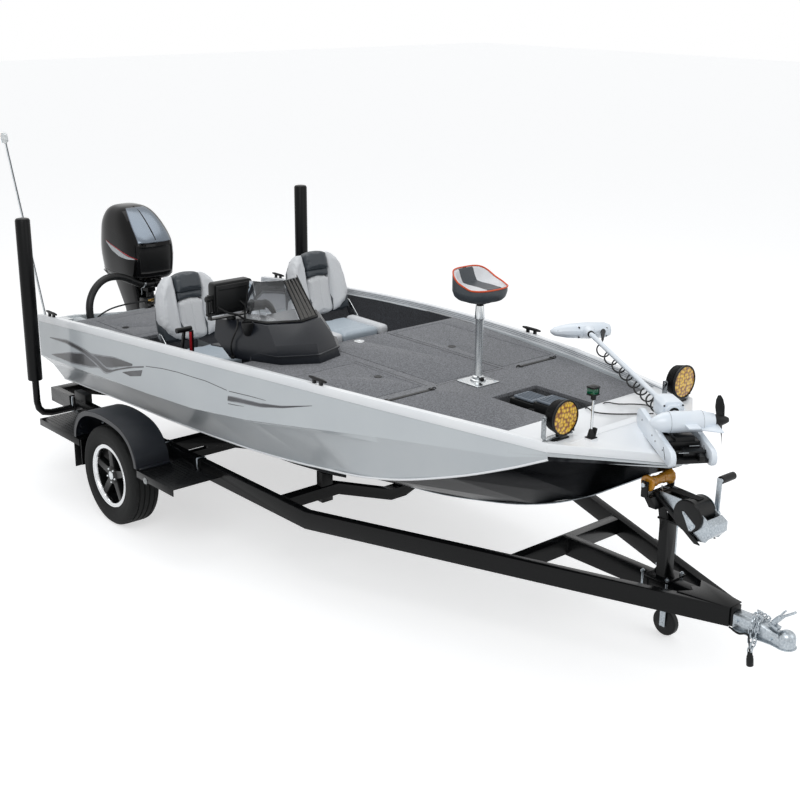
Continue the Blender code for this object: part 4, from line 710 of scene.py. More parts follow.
for label, side in (("port", 1), ("starboard", -1)):
    body = "wheel_" + label
    hub = at(0, side * wheel["track"], wheel["centreZ"])
    out = Vector((0, side, 0))
    tyre = tyreOf(side, "tyre" + label.capitalize(), body)
    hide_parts("tyre_" + label)
    rim = dressed["rim_" + label]

    def polishedEdge(centre, normal):
        radius = math.hypot(centre.x, centre.z - wheel["centreZ"])
        return radius > 0.177 and side * (centre.y - side * wheel["track"]) > 0.02

    colourFaces(rim, polishedAlloy, polishedEdge)
    nuts = []
    for i in range(5):
        angle = math.tau * (i + 0.5) / 5
        spot = hub + Vector((math.sin(angle) * 0.046, 0, math.cos(angle) * 0.046)) + out * 0.056
        nut = turnedOf(spot, out, [(0, 0.0085), (0.016, 0.0085), (0.022, 0.006), (0.024, 0.002)], 6)
        nuts.append(rounded(nut, 0.8))
    made("lugNuts" + label.capitalize(), nuts, polishedSteel, body, "stainless", 30)
    cap = turnedOf(
        hub + out * 0.060, out, [(0, 0.031), (0.010, 0.031), (0.016, 0.027), (0.020, 0.018), (0.021, 0.002)], 32
    )
    made("hubCap" + label.capitalize(), [cap], polishedSteel, body, "stainless", 30)
    lip = turnedOf(
        hub + out * 0.0855, out, [(0, 0.2095), (0.003, 0.2100), (0.005, 0.2070), (0.003, 0.1990), (0, 0.1985)], 64,
        True
    )
    modify(lip, "SOLIDIFY", thickness=0.001, offset=-1)
    made("rimLip" + label.capitalize(), [lip], polishedAlloy, body, "stainless", 40)
    arch = flowing(fender["arch"], 6)
    inner = [(x * 0.986, 0.503 + (z - 0.503) * 0.975) for x, z in arch]
    lipInner = [(x * 0.925, 0.503 + (z - 0.503) * 0.87) for x, z in arch]
    cover = plateOf(arch + inner[::-1], "y", side * 0.985, side * 1.222)
    edge = plateOf(arch + lipInner[::-1], "y", side * 1.2165, side * 1.222)
    roll = tubeOf([at(x * 0.992, side * 1.218, 0.503 + (z - 0.503) * 0.985) for x, z in arch], 0.0055, 8)
    feet = []
    for x in ((-0.42, -0.385), (0.405, 0.44)):
        feet.append(blockOf(x, sorted((side * 0.99, side * 1.20)), (0.5003, 0.510), 2))
    cover = made("fender" + label.capitalize(), [cover, edge, roll, *feet], grainedBlack, smoothAngle=35)
    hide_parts("fender_" + label)
    bolts = []
    for x, z in ((-0.372, 0.560), (-0.372, 0.515), (0.385, 0.560), (0.400, 0.515)):
        turn = Vector((x, 0, (z - 0.503) * 1.2)).normalized()
        start = at(x, side * 1.02, z) - turn * 0.004
        for across in (0.0, 0.15):
            bolts.append(turnedOf(start + out * across, turn, [(0, 0.008), (0.008, 0.008), (0.011, 0.004)], 12))
    made("fenderBolts" + label.capitalize(), bolts, zincPlate, "boat", "zinc", 30)
print("wheels fitted")


pillow = {"pressure": 4.0, "stiffness": 15, "frames": 20, "smoothing": 3}


# Padded pieces: the shape is remeshed and swells under pressure, held back at its cap
def puff(piece, voxelMm, capMm):
    modify(piece, "REMESH", mode="VOXEL", voxel_size=voxelMm / 1000)
    before = [v.co.copy() for v in piece.data.vertices]
    only(piece)
    cloth = piece.modifiers.new("cloth", "CLOTH")
    cloth.settings.use_pressure = True
    cloth.settings.uniform_pressure_force = pillow["pressure"]
    cloth.settings.effector_weights.gravity = 0
    cloth.settings.tension_stiffness = cloth.settings.compression_stiffness = pillow["stiffness"]
    cloth.point_cache.frame_start, cloth.point_cache.frame_end = 1, pillow["frames"]
    for moment in range(1, pillow["frames"] + 1):
        bpy.context.scene.frame_set(moment)
    bpy.ops.object.modifier_apply(modifier=cloth.name)
    bpy.context.scene.frame_set(1)
    limit = capMm / 1000
    for vertex, start in zip(piece.data.vertices, before):
        move = vertex.co - start
        if move.length > limit:
            vertex.co = start + move.normalized() * limit
    return modify(piece, "SMOOTH", factor=0.5, iterations=pillow["smoothing"])


# A seam: points near the line sink, as stitched vinyl does
def seam(piece, distanceTo, widthMm, depthMm, inward):
    inward = Vector(inward)
    for vertex in piece.data.vertices:
        gap = distanceTo(vertex.co) * 1000 / widthMm
        if gap < 1:
            vertex.co += inward * (depthMm / 1000) * (1 - gap * gap)
    return piece


# Helm seats: the back's own frame is up its slope, across, and out of its face
helm = {"seatY": 0.525, "hingeX": 0.015, "hingeZ": 1.190, "lean": 14}
leanAngle = math.radians(helm["lean"])
backUp = Vector((-math.sin(leanAngle), 0, math.cos(leanAngle)))
backFore = Vector((math.cos(leanAngle), 0, math.sin(leanAngle)))


def onBack(rise, across, out):
    return at(helm["hingeX"], helm["seatY"] + across, helm["hingeZ"]) + backUp * rise + backFore * out


# A pillow with a soft rim: an outline on the back's face, drawn out and rounded
def backPad(outline, low, high):
    rings = []
    middle = [sum(p[i] for p in outline) / len(outline) for i in (0, 1)]
    for depth, share in ((low, 0.94), (low + 0.006, 1.0), (high - 0.008, 1.0), (high, 0.88)):
        rings.append([
            onBack(middle[0] + (r - middle[0]) * share, middle[1] + (w - middle[1]) * share, depth)
            for r, w in outline
        ])
    return skinnedOf(rings)


# A wide bolster lies from the centre panel out to the back's edge, thickest near the edge: rise, across
bolsterEdge = [
    (-0.045, 0.093), (0.100, 0.095), (0.220, 0.097), (0.300, 0.100), (0.374, 0.097), (0.378, 0.120), (0.362, 0.152),
    (0.330, 0.184), (0.280, 0.210), (0.200, 0.230), (0.110, 0.238), (0.060, 0.236), (0.010, 0.202), (-0.030, 0.150),
]


def bolsterOf(side):
    middle = (0.16, 0.160)
    rings = []
    for level, share in ((0, 0.93), (0.12, 1.0), (0.80, 1.0), (1, 0.84)):
        ring = []
        for rise, across in bolsterEdge:
            r, w = middle[0] + (rise - middle[0]) * share, middle[1] + (across - middle[1]) * share
            swell = max(0, min(1, (across - 0.09) / 0.10))
            high = 0.044 + 0.018 * swell - 0.012 * max(0, (rise - 0.30) / 0.08)
            ring.append(onBack(r, side * w, -0.046 + (high + 0.046) * level))
        rings.append(ring)
    return skinnedOf(rings)


lightPads = [bolsterOf(side) for side in (1, -1)]
bolsters = made(
    "helmBolstersPort", [puff(pad, 6, 5) for pad in lightPads], lightVinyl, "seat_back_port", "seat_vinyl", 60
)

headband = backPad(
    [(0.262, -0.092), (0.262, 0.092), (0.330, 0.094), (0.372, 0.088), (0.386, 0.050), (0.388, 0.0), (0.386, -0.050),
     (0.372, -0.088), (0.330, -0.094)], -0.040, 0.060,
)
headband = made("helmHeadbandPort", [puff(headband, 6, 6)], darkVinyl, "seat_back_port", "seat_vinyl", 60)
underBand = backPad([(0.214, -0.090), (0.224, 0.0), (0.214, 0.090), (0.262, 0.092), (0.262, -0.092)], -0.020, 0.046)
underBand = made("helmUnderBandPort", [puff(underBand, 6, 4)], darkVinyl, "seat_back_port", "seat_vinyl", 60)
centre = backPad(
    [(-0.050, -0.055), (-0.050, 0.055), (-0.040, 0.082), (-0.010, 0.092), (0.196, 0.092), (0.214, 0.060), (0.222, 0.0),
     (0.214, -0.060), (0.196, -0.092), (-0.010, -0.092), (-0.040, -0.082)], -0.020, 0.044,
)
centre = puff(centre, 6, 5)
seam(centre, lambda p: abs(p.y - helm["seatY"]), 5, 4, -backFore)
centre = made("helmCentrePort", [centre], paleVinyl, "seat_back_port", "seat_vinyl", 60)
shellRings = []
for rise, half, low, high in (
    (-0.050, 0.200, -0.034, 0.010), (-0.030, 0.232, -0.046, 0.030), (0.04, 0.240, -0.052, 0.036),
    (0.10, 0.240, -0.054, 0.014), (
        0.26, 0.216, -0.054, -0.010
    ), (0.34, 0.172, -0.048, -0.018), (0.372, 0.120, -0.042, -0.024),
):
    rim = (
        (-half * 0.96, low), (-half, low * 0.4), (-half * 0.98, high), (half * 0.98, high), (half, low * 0.4),
        (half * 0.96, low)
    )
    shellRings.append([onBack(rise, w, t) for w, t in rim])
shell = rounded(skinnedOf(shellRings), 10, 3)
pin = rodOf(onBack(0, -0.2465, 0), onBack(0, 0.2465, 0), 0.010, 16)
shell = made("helmShellPort", [shell], darkVinyl, "seat_back_port", "seat_vinyl", 50)
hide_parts("seat_back_port")
pin = made("helmPinPort", [pin], polishedSteel, "seat_back_port", "stainless", 30)
backPieces = [bolsters, headband, underBand, centre, shell, pin]
for piece in backPieces:
    double = mirrored(piece, piece.name.replace("Port", "Starboard"), "seat_back_starboard")
    if piece == shell:
        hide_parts("seat_back_starboard")
print("seat backs padded")


# Cushion: two bolsters, a centre and a dark skirt, on its hinge plates
cushionParts = []
for y in ((0.285, 0.365), (0.685, 0.765)):
    cushionParts.append(puff(blockOf((0.10, 0.492), y, (1.045, 1.118), 26, 4), 6, 6))
sideRolls = made("helmSideRollsPort", cushionParts, lightVinyl, "boat", "seat_vinyl", 60)
middlePad = puff(blockOf((0.10, 0.488), (0.368, 0.682), (1.045, 1.106), 20, 4), 6, 9)
seam(middlePad, lambda p: abs(p.x - axleX - 0.37), 6, 5, (0, 0, -1))
middlePad = made("helmMiddlePadPort", [middlePad], slateVinyl, "boat", "seat_vinyl", 60)
skirt = blockOf((0.092, 0.494), (0.285, 0.765), (1.0005, 1.055), 16, 3)
skirt = made("helmSkirtPort", [skirt], darkVinyl, "boat", "seat_vinyl", 50)
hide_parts("seat_cushion_port")
plates = []
for y in (0.273, 0.772):
    outline = [
        (0.10, 1.01), (0.20, 1.01), (0.20, 1.05), (0.038, 1.208), (0.015, 1.214), (-0.008, 1.202), (-0.008, 1.172)
    ]
    plates.append(plateOf(outline, "y", y, y + 0.005, 1))
plates.append(blockOf((0.11, 0.19), (0.274, 0.776), (1.008, 1.018), 1))
plates = made("helmHingePort", plates, polishedSteel, "boat", "stainless", 35)
for piece in (sideRolls, middlePad, skirt, plates):
    double = mirrored(piece, piece.name.replace("Port", "Starboard"), "boat")
    if piece == skirt:
        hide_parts("seat_cushion_starboard")
print("helm cushions padded")


# Butt seat: a bucket with a high back, orange cord round its rim and light sides inside
butt = {"x": 2.159, "aft": 0.137, "fore": 0.132, "half": 0.145, "rim": 1.803, "rise": 0.083}


def buttShape(angle, share, z=None, drop=0.0):
    c, s = math.cos(angle), math.sin(angle)
    reach = butt["fore"] if c > 0 else butt["aft"]
    back = max(0, min(1, (0.45 - c) / 1.45))
    rim = butt["rim"] + butt["rise"] * back * back * (3 - 2 * back)
    x = butt["x"] + reach * share * math.copysign(abs(c) ** 0.72, c)
    y = butt["half"] * share * math.copysign(abs(s) ** 0.72, s)
    if z is None:
        z = rim - drop
    elif drop:
        z = z + (rim - z) * drop
    return at(x, y, z)


rows = [(0.60, 1.7203, 0), (0.80, 1.727, 0), (0.93, 1.745, 0), (1.0, 1.775, 0), (1.0, None, 0.008), (0.965, None, 0)]
rows += [(0.92, None, 0.006), (0.80, 1.800, 0.42), (0.68, 1.800, 0.08), (0.45, 1.803, 0), (0.15, 1.804, 0)]
turns = [math.tau * i / 48 for i in range(48)]
pan = puff(skinnedOf([[buttShape(turn, *row) for turn in turns] for row in rows]), 5, 3)
pan = made("buttSeatPan", [pan], darkVinyl, "butt_seat", "seat_vinyl", 60)


def insideRim(c, n):
    x, y = c.x - butt["x"], c.y
    reach = butt["fore"] if x > 0 else butt["aft"]
    away = (abs(x / reach) ** 2.8 + abs(y / butt["half"]) ** 2.8) ** (1 / 2.8)
    return away < 0.955 and c.z > 1.79 and abs(y) > 0.054


for y in (-0.054, 0.054):
    editAll(pan)
    bpy.ops.mesh.bisect(plane_co=(0, y, 0), plane_no=(0, 1, 0))
    endEdit()
colourFaces(pan, lightVinyl, insideRim)
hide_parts("butt_seat")
piping = tubeOf([buttShape(turn, 0.985, None, 0.002) for turn in turns + turns[:1]], 0.0045, 8, False)
made("buttSeatPiping", [piping], orangeCord, "butt_seat", "seat_vinyl", 60)
neck = turnedOf(
    at(butt["x"], 0, 1.690), up, [(0, 0.0175), (0.008, 0.0175), (0.010, 0.034), (0.020, 0.040), (0.0302, 0.042)], 32
)
collar = turnedOf(
    at(butt["x"], 0, 1.262), up, [
        (0, 0.0228), (0.001, 0.030), (0.006, 0.032), (0.018, 0.032), (0.022, 0.026), (0.024, 0.0228)
    ], 32
)
knob = turnedOf(
    at(butt["x"] + 0.030, -0.012, 1.274), (1, -0.4, 0.1),
    [(0, 0.005), (0.014, 0.005), (0.016, 0.012), (0.028, 0.013), (0.032, 0.007)], 16
)
made("pedestalNeck", [neck, knob], mouldedBlack, smoothAngle=35)
made("pedestalCollar", [collar], polishedSteel, "boat", "stainless", 35)
screws = []
for dx in (-0.068, 0.068):
    for dy in (-0.068, 0.068):
        screws.append(
            turnedOf(
                at(butt["x"] + dx, dy, 1.2528), up, [(0, 0.008), (0.0015, 0.0075), (0.003, 0.004), (0.0032, 0.001)],
                16
            )
        )
made("pedestalScrews", screws, zincPlate, "boat", "zinc", 35)
print("butt seat made")


# Black cleats on the white rails, and ribs along their inner faces
for label in ("port", "starboard"):
    rail = dressed["gunwale_" + label]
    colourFaces(rail, mouldedBlack, lambda c, n: c.z > sheer(min(c.x, 3.2)) + 0.0015)
    side = 1 if label == "port" else -1
    ribs = []
    for drop in (0.010, 0.021, 0.032):
        run = []
        for row in hullLines[:11]:
            x = min(row[0], 3.19)
            run.append(at(x, side * (beam(x) - 0.0455), sheer(x) - drop))
        ribs.append(tubeOf(run, 0.0017, 8))
    made("railRibs" + label.capitalize(), ribs, grooveShade, "boat", "white_trim")

# Deck straps are black, with a hook at each end
deck = dressed["front_deck"]
colourFaces(deck, mouldedBlack, lambda c, n: c.z > deckTop + 0.0012)
hooks = []
for x, low, high in ((2.10, 0.40, 0.68), (2.10, -0.62, -0.30)):
    for y, way in ((low, -1), (high, 1)):
        hook = [
            at(x, y, 1.2495), at(x, y + way * 0.014, 1.256), at(x, y + way * 0.026, 1.253),
            at(x, y + way * 0.030, 1.247)
        ]
        hooks.append(tubeOf(hook, 0.003, 8))
        hooks.append(blockOf((x - 0.018, x + 0.018), (y - 0.010, y + 0.010), (1.2487, 1.2525), 1))
made("strapHooks", hooks, mouldedBlack)
ring = turnedOf(
    at(1.066, 0.028, 1.2452), up, [(0, 0.033), (0.002, 0.0325), (0.0032, 0.029), (0.002, 0.024), (0.0005, 0.023)], 40
)
made("flushPull", [ring], polishedSteel, "front_lid_centre", "stainless")
trim = []
for (x0, x1), (y0, y1) in (
    ((1.42, 2.01), (-0.735, -0.30)), ((1.02, 2.03), (-0.20, 0.285)), ((1.05, 2.03), (0.325, 0.735))
):
    gap = 0.030
    for a, b in (((x0 - gap, y0 - gap), (x1 + gap, y0 - gap)), ((x1 + gap, y0 - gap), (x1 + gap, y1 + gap)),
                 ((x1 + gap, y1 + gap), (x0 - gap, y1 + gap)), ((x0 - gap, y1 + gap), (x0 - gap, y0 - gap))):
        if max(a[0], b[0]) < 2.07 and min(a[0], b[0]) > 1.005 and max(abs(a[1]), abs(b[1])) < 0.74:
            trim.append(barOf(at(*a, deckTop), at(*b, deckTop), 0.003, 0.0012))
made("lidSeams", trim, mouldedBlack, smoothAngle=0)

# Foot pedal: its base keeps the solid's place, and two ribbed pads lie on it
pedalPads = []
for (x0, x1), (y0, y1), low in (((2.485, 2.630), (-0.050, 0.072), 1.244), ((2.655, 2.795), (-0.055, 0.077), 1.262)):
    pedalPads.append(blockOf((x0, x1), (y0, y1), (low, low + 0.016), 7, 3))
    for i in range(6):
        y = y0 + 0.016 + i * (y1 - y0 - 0.032) / 5
        pedalPads.append(
            barOf(at(x0 + 0.018, y, low + 0.018), at(x1 - 0.018, y, low + 0.018), 0.006, 0.005, roundMm=1.5)
        )
slate = grain(newFinish("slateRubber", "6a737d", 0.5), 4, "616a74", "737c86", 0.2)
made("pedalPads", pedalPads, slate, smoothAngle=45)
pedalCase = [
    plateOf(
        [(2.455, 1.152), (2.815, 1.152), (2.805, 1.262), (2.645, 1.262), (2.640, 1.243), (2.470, 1.243)], "y", -0.060,
        0.082, 5
    ),
    blockOf((2.60, 2.70), (0.082, 0.125), (1.150, 1.225), 8, 3),
]
made("pedalCase", pedalCase, mouldedBlack, smoothAngle=45)

# Spot lights: finned housing, bezel, amber lens, stainless ears on a black base
lamp = {"x": 3.155, "y": 0.46, "z": 1.409, "fins": 6}
for label, side in (("Port", 1), ("Starboard", -1)):
    x, y, z = lamp["x"], side * lamp["y"], lamp["z"]
    start = at(x, y, z)
    profile = [(0.000, 0.034), (0.004, 0.056), (0.010, 0.062)]
    for i in range(lamp["fins"]):
        d = 0.012 + i * 0.0085
        profile += [
            (d, 0.064 + i * 0.0035), (d + 0.0012, 0.077 + i * 0.0018), (d + 0.0042, 0.0775 + i * 0.0018),
            (d + 0.0054, 0.064 + i * 0.0035)
        ]
    profile += [(0.064, 0.084), (0.068, 0.090), (0.078, 0.0902), (0.0802, 0.0875), (0.0802, 0.0825), (0.0745, 0.0815)]
    body = turnedOf(start, (1, 0, 0), profile, 48)
    node = "spot_light_" + label.lower()
    body = made("spotHousing" + label, [body], mouldedBlack, smoothAngle=30)
    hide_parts(node)
    glass = turnedOf(
        start, (1, 0, 0), [(0.0735, 0.0812), (0.0765, 0.0808), (0.0785, 0.060), (0.0798, 0.030), (0.0800, 0.004)], 48
    )
    made("spotLens" + label, [glass], honeycomb, "boat", "amber", 60)
    earX, ears = x + 0.030, []
    for way in (-1, 1):
        low, bend, top = [
            at(earX, y + way * off, h)
            for off, h in ((0.092, 1.3065), (0.102, 1.312), (0.102, z + 0.012))
        ]
        ears.append(barOf(low, bend, 0.030, 0.004, (1, 0, 0), 1))
        ears.append(barOf(bend, top, 0.004, 0.030, (1, 0, 0), 1))
        ears.append(rodOf(at(earX, y + way * 0.086, z), at(earX, y + way * 0.104, z), 0.0155, 20, 1))
        ears.append(
            turnedOf(at(earX, y + way * 0.104, z), (0, way, 0), [(0, 0.009), (0.005, 0.009), (0.007, 0.006)], 6)
        )
    ears.append(barOf(at(earX, y - 0.094, 1.3062), at(earX, y + 0.094, 1.3062), 0.030, 0.004, up, 1))
    foot = [
        blockOf((x + 0.000, x + 0.066), (y - 0.046, y + 0.046), (1.2905, 1.3045), 4, 3),
        rodOf(at(earX, y, 1.304), at(earX, y, 1.3165), 0.011, 16, 1)
    ]
    made("spotEars" + label, ears, chromeWire, "boat", "stainless", 30)
    made("spotFoot" + label, foot, mouldedBlack)

# Bow light: lens cap, red and green sides, black neck, bent stalk and folding base
nav = dressed["nav_light"]
colourFaces(nav, mouldedBlack, lambda c, n: c.z > 1.500 or c.z < 1.335)
navPlace = (3.287, -0.33)
lensParts = blockOf(
    (navPlace[0] - 0.022, navPlace[0] + 0.022), (navPlace[1] - 0.027, navPlace[1] + 0.019), (1.520, 1.549), 3, 3
)
colourHalf = made("navLens", [lensParts], greenLens)
colourFaces(colourHalf, redLens, lambda c, n: c.y > navPlace[1] + 0.011)
navParts = [
    blockOf(
        (navPlace[0] - 0.024, navPlace[0] + 0.024), (navPlace[1] - 0.029, navPlace[1] + 0.021), (1.549, 1.5585), 3, 2
    ),
    blockOf(
        (navPlace[0] - 0.023, navPlace[0] + 0.023), (navPlace[1] - 0.028, navPlace[1] + 0.020), (1.513, 1.5205), 2, 2
    ),
    blockOf(
        (navPlace[0] - 0.003, navPlace[0] + 0.024), (navPlace[1] + 0.009, navPlace[1] + 0.0125), (1.519, 1.550), 0.5,
        1
    ),
    turnedOf(at(3.287, -0.33, 1.487), up, [(0, 0.009), (0.004, 0.013), (0.026, 0.014), (0.030, 0.012)], 20),
    blockOf((3.262, 3.308), (-0.352, -0.308), (1.2935, 1.299), 2, 2),
    barOf(at(3.292, -0.322, 1.298), at(3.296, -0.314, 1.345), 0.014, 0.022, (1, 0, 0), 4),
    turnedOf(at(3.285, -0.33, 1.299), up, [(0, 0.020), (0.012, 0.018), (0.034, 0.013), (0.040, 0.0095)], 20),
]
made("navCase", navParts, mouldedBlack)
stern = dressed["stern_light"]
colourFaces(stern, clearLens, lambda c, n: c.z > 2.315)
print("lights made")

# Trolling motor. Its own frame runs along the shaft, across it and up.
pod = at(3.630, -0.070, 1.410)
shaftWay = Vector((-0.838, 0.545, 0)).normalized()
podWay = Vector((0.545, 0.838, 0)).normalized()
headAt = 1.70


def onShaft(along, across=0.0, rise=0.0):
    return pod + shaftWay * along + podWay * across + up * rise


# A plate with round ends, standing along the shaft
def roundEnded(a, b, radii, across, thickness, roundMm):
    slope = math.atan2(b[1] - a[1], b[0] - a[0])
    outline = []
    for centre, turn, radius in ((b, -90, radii[1]), (a, 90, radii[0])):
        for i in range(13):
            angle = slope + math.radians(turn + 180 * i / 12)
            outline.append((centre[0] + radius * math.cos(angle), centre[1] + radius * math.sin(angle)))
    rings = [[onShaft(d, across + t, r) for d, r in outline] for t in (-thickness / 2, thickness / 2)]
    return skinnedOf(rings, roundMm=roundMm)


arms, armScrews = [], []
for across in (-0.100, 0.100):
    arms.append(roundEnded((-0.140, -0.131), (0.300, -0.083), (0.043, 0.055), across, 0.030, 8))
    for d, r in ((-0.06, -0.118), (0.05, -0.112), (0.10, -0.100), (0.26, -0.075)):
        armScrews.append(rodOf(onShaft(d, across - 0.0165, r), onShaft(d, across + 0.0165, r), 0.0045, 12))
    armScrews.append(
        barOf(
            onShaft(-0.105, across - 0.0160, -0.150), onShaft(-0.070, across - 0.0160, -0.098), 0.003, 0.0015, podWay
        )
    )


# An eight-sided casting along the shaft
def eightSided(rows):
    rings = []
    for along, wide, tall, cut in rows:
        half = ((wide, tall - cut), (wide - cut, tall), (-wide + cut, tall), (-wide, tall - cut),
                (-wide, -tall + cut), (-wide + cut, -tall), (wide - cut, -tall), (wide, -tall + cut))
        rings.append([onShaft(along, w, t) for w, t in half])
    return skinnedOf(rings)


casting = rounded(
    eightSided(
        (
            (0.300, 0.050, 0.047, 0.014), (0.270, 0.055, 0.052, 0.018), (0.160, 0.058, 0.054, 0.020),
            (0.146, 0.056, 0.052, 0.020)
        )
    ),
    5, 3
)
face = rounded(
    eightSided(((0.150, 0.043, 0.040, 0.018), (0.136, 0.042, 0.039, 0.018), (0.132, 0.038, 0.035, 0.016))), 2, 2
)
seat = [barOf(onShaft(-0.048, 0, -0.082), onShaft(0.048, 0, -0.082), 0.10, 0.040, roundMm=6)]
cradle = made("trollingCradle", [*arms, casting, face], whiteShell, "boat", "white_trim", 35)
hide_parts("trolling_mount")
for w, t in ((0.047, 0.033), (-0.047, 0.033), (0.047, -0.033), (-0.047, -0.033)):
    armScrews.append(rodOf(onShaft(0.1475, w, t), onShaft(0.1445, w, t), 0.005, 12))
made("cradleScrews", armScrews, darkZinc)
dark = [
    turnedOf(
        onShaft(0.1335), -shaftWay, [(0, 0.027), (0.003, 0.027), (0.005, 0.023), (0.005, 0.0152), (0, 0.0150)], 32
    ),
    barOf(onShaft(-0.150, 0, -0.150), onShaft(0.34, 0, -0.150), 0.166, 0.020, roundMm=3),
    barOf(onShaft(0.150, 0, -0.095), onShaft(0.290, 0, -0.095), 0.070, 0.092, roundMm=6),
    barOf(onShaft(-0.050, 0, -0.112), onShaft(0.050, 0, -0.112), 0.150, 0.056, roundMm=5),
    barOf(onShaft(-0.125, 0.02, -0.125), onShaft(-0.070, 0.02, -0.118), 0.110, 0.030, roundMm=4),
    barOf(onShaft(0.070, 0.030, -0.070), onShaft(0.125, 0.030, -0.080), 0.060, 0.038, roundMm=5),
    rodOf(onShaft(-0.100, -0.084, -0.118), onShaft(-0.100, 0.084, -0.118), 0.009, 16, 1),
    barOf(onShaft(-0.165, 0.045, -0.135), onShaft(-0.120, 0.045, -0.128), 0.028, 0.030, roundMm=5),
]
made("cradleLatch", dark + seat, satinBlack, smoothAngle=35)
made("latchBolts", [
    rodOf(onShaft(-0.128, -0.060, -0.112), onShaft(-0.128, -0.010, -0.112), 0.003, 10),
    rodOf(onShaft(-0.075, 0.010, -0.098), onShaft(-0.075, 0.060, -0.098), 0.003, 10),
], chromeWire, "boat", "stainless", 40)

podBands = []
for across, radius in ((-0.075, 0.0529), (0.086, 0.0530)):
    podBands.append(
        turnedOf(
            onShaft(0, across), podWay,
            [(0, radius - 0.002), (0, radius), (0.0016, radius), (0.0016, radius - 0.002)], 40
        )
    )
made("podSeams", podBands, silverAccent, "boat", "white_trim", 40)
finRings = []
for across, reach, half in (
    (0.070, 0.052, 0.0035), (0.110, 0.075, 0.003), (0.150, 0.098, 0.0022), (0.162, 0.100, 0.0018)
):
    finRings.append(
        [
            onShaft(-0.020, across, -0.010 - half), onShaft(-reach - 0.004, across + 0.006, -0.028 - half),
            onShaft(-reach - 0.004, across + 0.006, -0.028 + half), onShaft(-0.020, across, -0.010 + half)
        ]
    )
made("podFin", [skinnedOf(finRings, roundMm=1)], whiteShell, "boat", "white_trim", 30)
boss = turnedOf(
    onShaft(headAt - 0.036), -shaftWay,
    [(0, 0.040), (0.012, 0.040), (0.030, 0.032), (0.048, 0.027), (0.052, 0.023), (0.052, 0.0148)], 32
)
made("headBoss", [boss], whiteShell, "boat", "white_trim", 40)
headDark = [turnedOf(onShaft(headAt - 0.0885), -shaftWay, [(0, 0.021), (0.008, 0.0205), (0.010, 0.0150)], 32)]
for across, rise in ((-0.185, 0.008), (-0.060, 0.030), (-0.060, -0.030), (0.110, 0.022), (0.110, -0.026)):
    deep = 0.056 * (1 - (across / 0.235) ** 2) ** 0.5 * 0.80
    headDark.append(
        rodOf(onShaft(headAt - deep - 0.004, across, rise), onShaft(headAt - deep + 0.010, across, rise), 0.0048, 12)
    )
bootEnd = onShaft(headAt - 0.165, 0.050, -0.016)
bootStart = onShaft(headAt - 0.040, 0.088, 0.004)
bootLength = (bootEnd - bootStart).length
bootProfile = [(0, 0.0165), (0.012, 0.0165)]
for i in range(7):
    d = 0.020 + i * 0.013
    bootProfile += [(d, 0.0145 - i * 0.0009), (d + 0.006, 0.0130 - i * 0.0009)]
bootProfile += [(bootLength - 0.004, 0.0075), (bootLength, 0.0045)]
headDark.append(turnedOf(bootStart, bootEnd - bootStart, bootProfile, 20))
made("headFittings", headDark, mouldedBlack)


# The coiled lead hangs on the shaft: loose turns under the head, closer ones at the cradle
lead = {"radius": 0.0046, "turns": 9, "from": 1.47, "to": 0.37, "loopHigh": 0.022, "loopLow": 0.029}
leadPath = [bootEnd - (bootEnd - bootStart).normalized() * 0.004]
leadPath.append(bootEnd + (bootEnd - bootStart).normalized() * 0.020)
steps = lead["turns"] * 16
for i in range(steps + 1):
    share = i / steps
    eased = 1 - (1 - share) ** 1.35
    along = lead["from"] + (lead["to"] - lead["from"]) * eased
    loop = lead["loopHigh"] + (lead["loopLow"] - lead["loopHigh"]) * share
    angle = math.tau * lead["turns"] * share + math.radians(20)
    hang = loop + 0.0145 + lead["radius"] + 0.001
    leadPath.append(onShaft(along, loop * math.cos(angle), loop * math.sin(angle) - hang))
leadPath.append(onShaft(0.330, 0.012, -0.060))
leadPath.append(onShaft(0.284, 0.006, -0.072))


coilLead = made("coilLead", [tubeOf(leadPath, lead["radius"], 12, False)], hoseRubber, smoothAngle=60)
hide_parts("trolling_cable")

# Black leads from the pedal's tray across the cap to the cradle
for name, run in {
    "pedalLead": [
        (2.79, 0.06, 1.200), (2.845, 0.05, 1.240), (2.875, 0.03, 1.253), (2.93, 0.01, 1.258), (2.965, 0.0, 1.2975),
        (3.04, -0.02, 1.2955), (3.12, 0.03, 1.2955), (3.19, 0.11, 1.2965), (3.245, 0.168, 1.300),
        (3.275, 0.155, 1.310)
    ],
    "sensorLead": [
        (2.80, 0.14, 1.200), (2.850, 0.13, 1.238), (2.885, 0.12, 1.252), (2.935, 0.13, 1.257), (2.970, 0.14, 1.2970),
        (3.03, 0.18, 1.2950), (3.08, 0.24, 1.2950), (3.14, 0.28, 1.2950), (3.20, 0.26, 1.2965), (3.262, 0.205, 1.305)
    ],
}.items():
    points = flowing(run, 3)
    path = [at(*p) for p in points]
    piece = made(name, [tubeOf(path, 0.0034, 10, False)], hoseRubber, smoothAngle=60)
print("bow fitted")

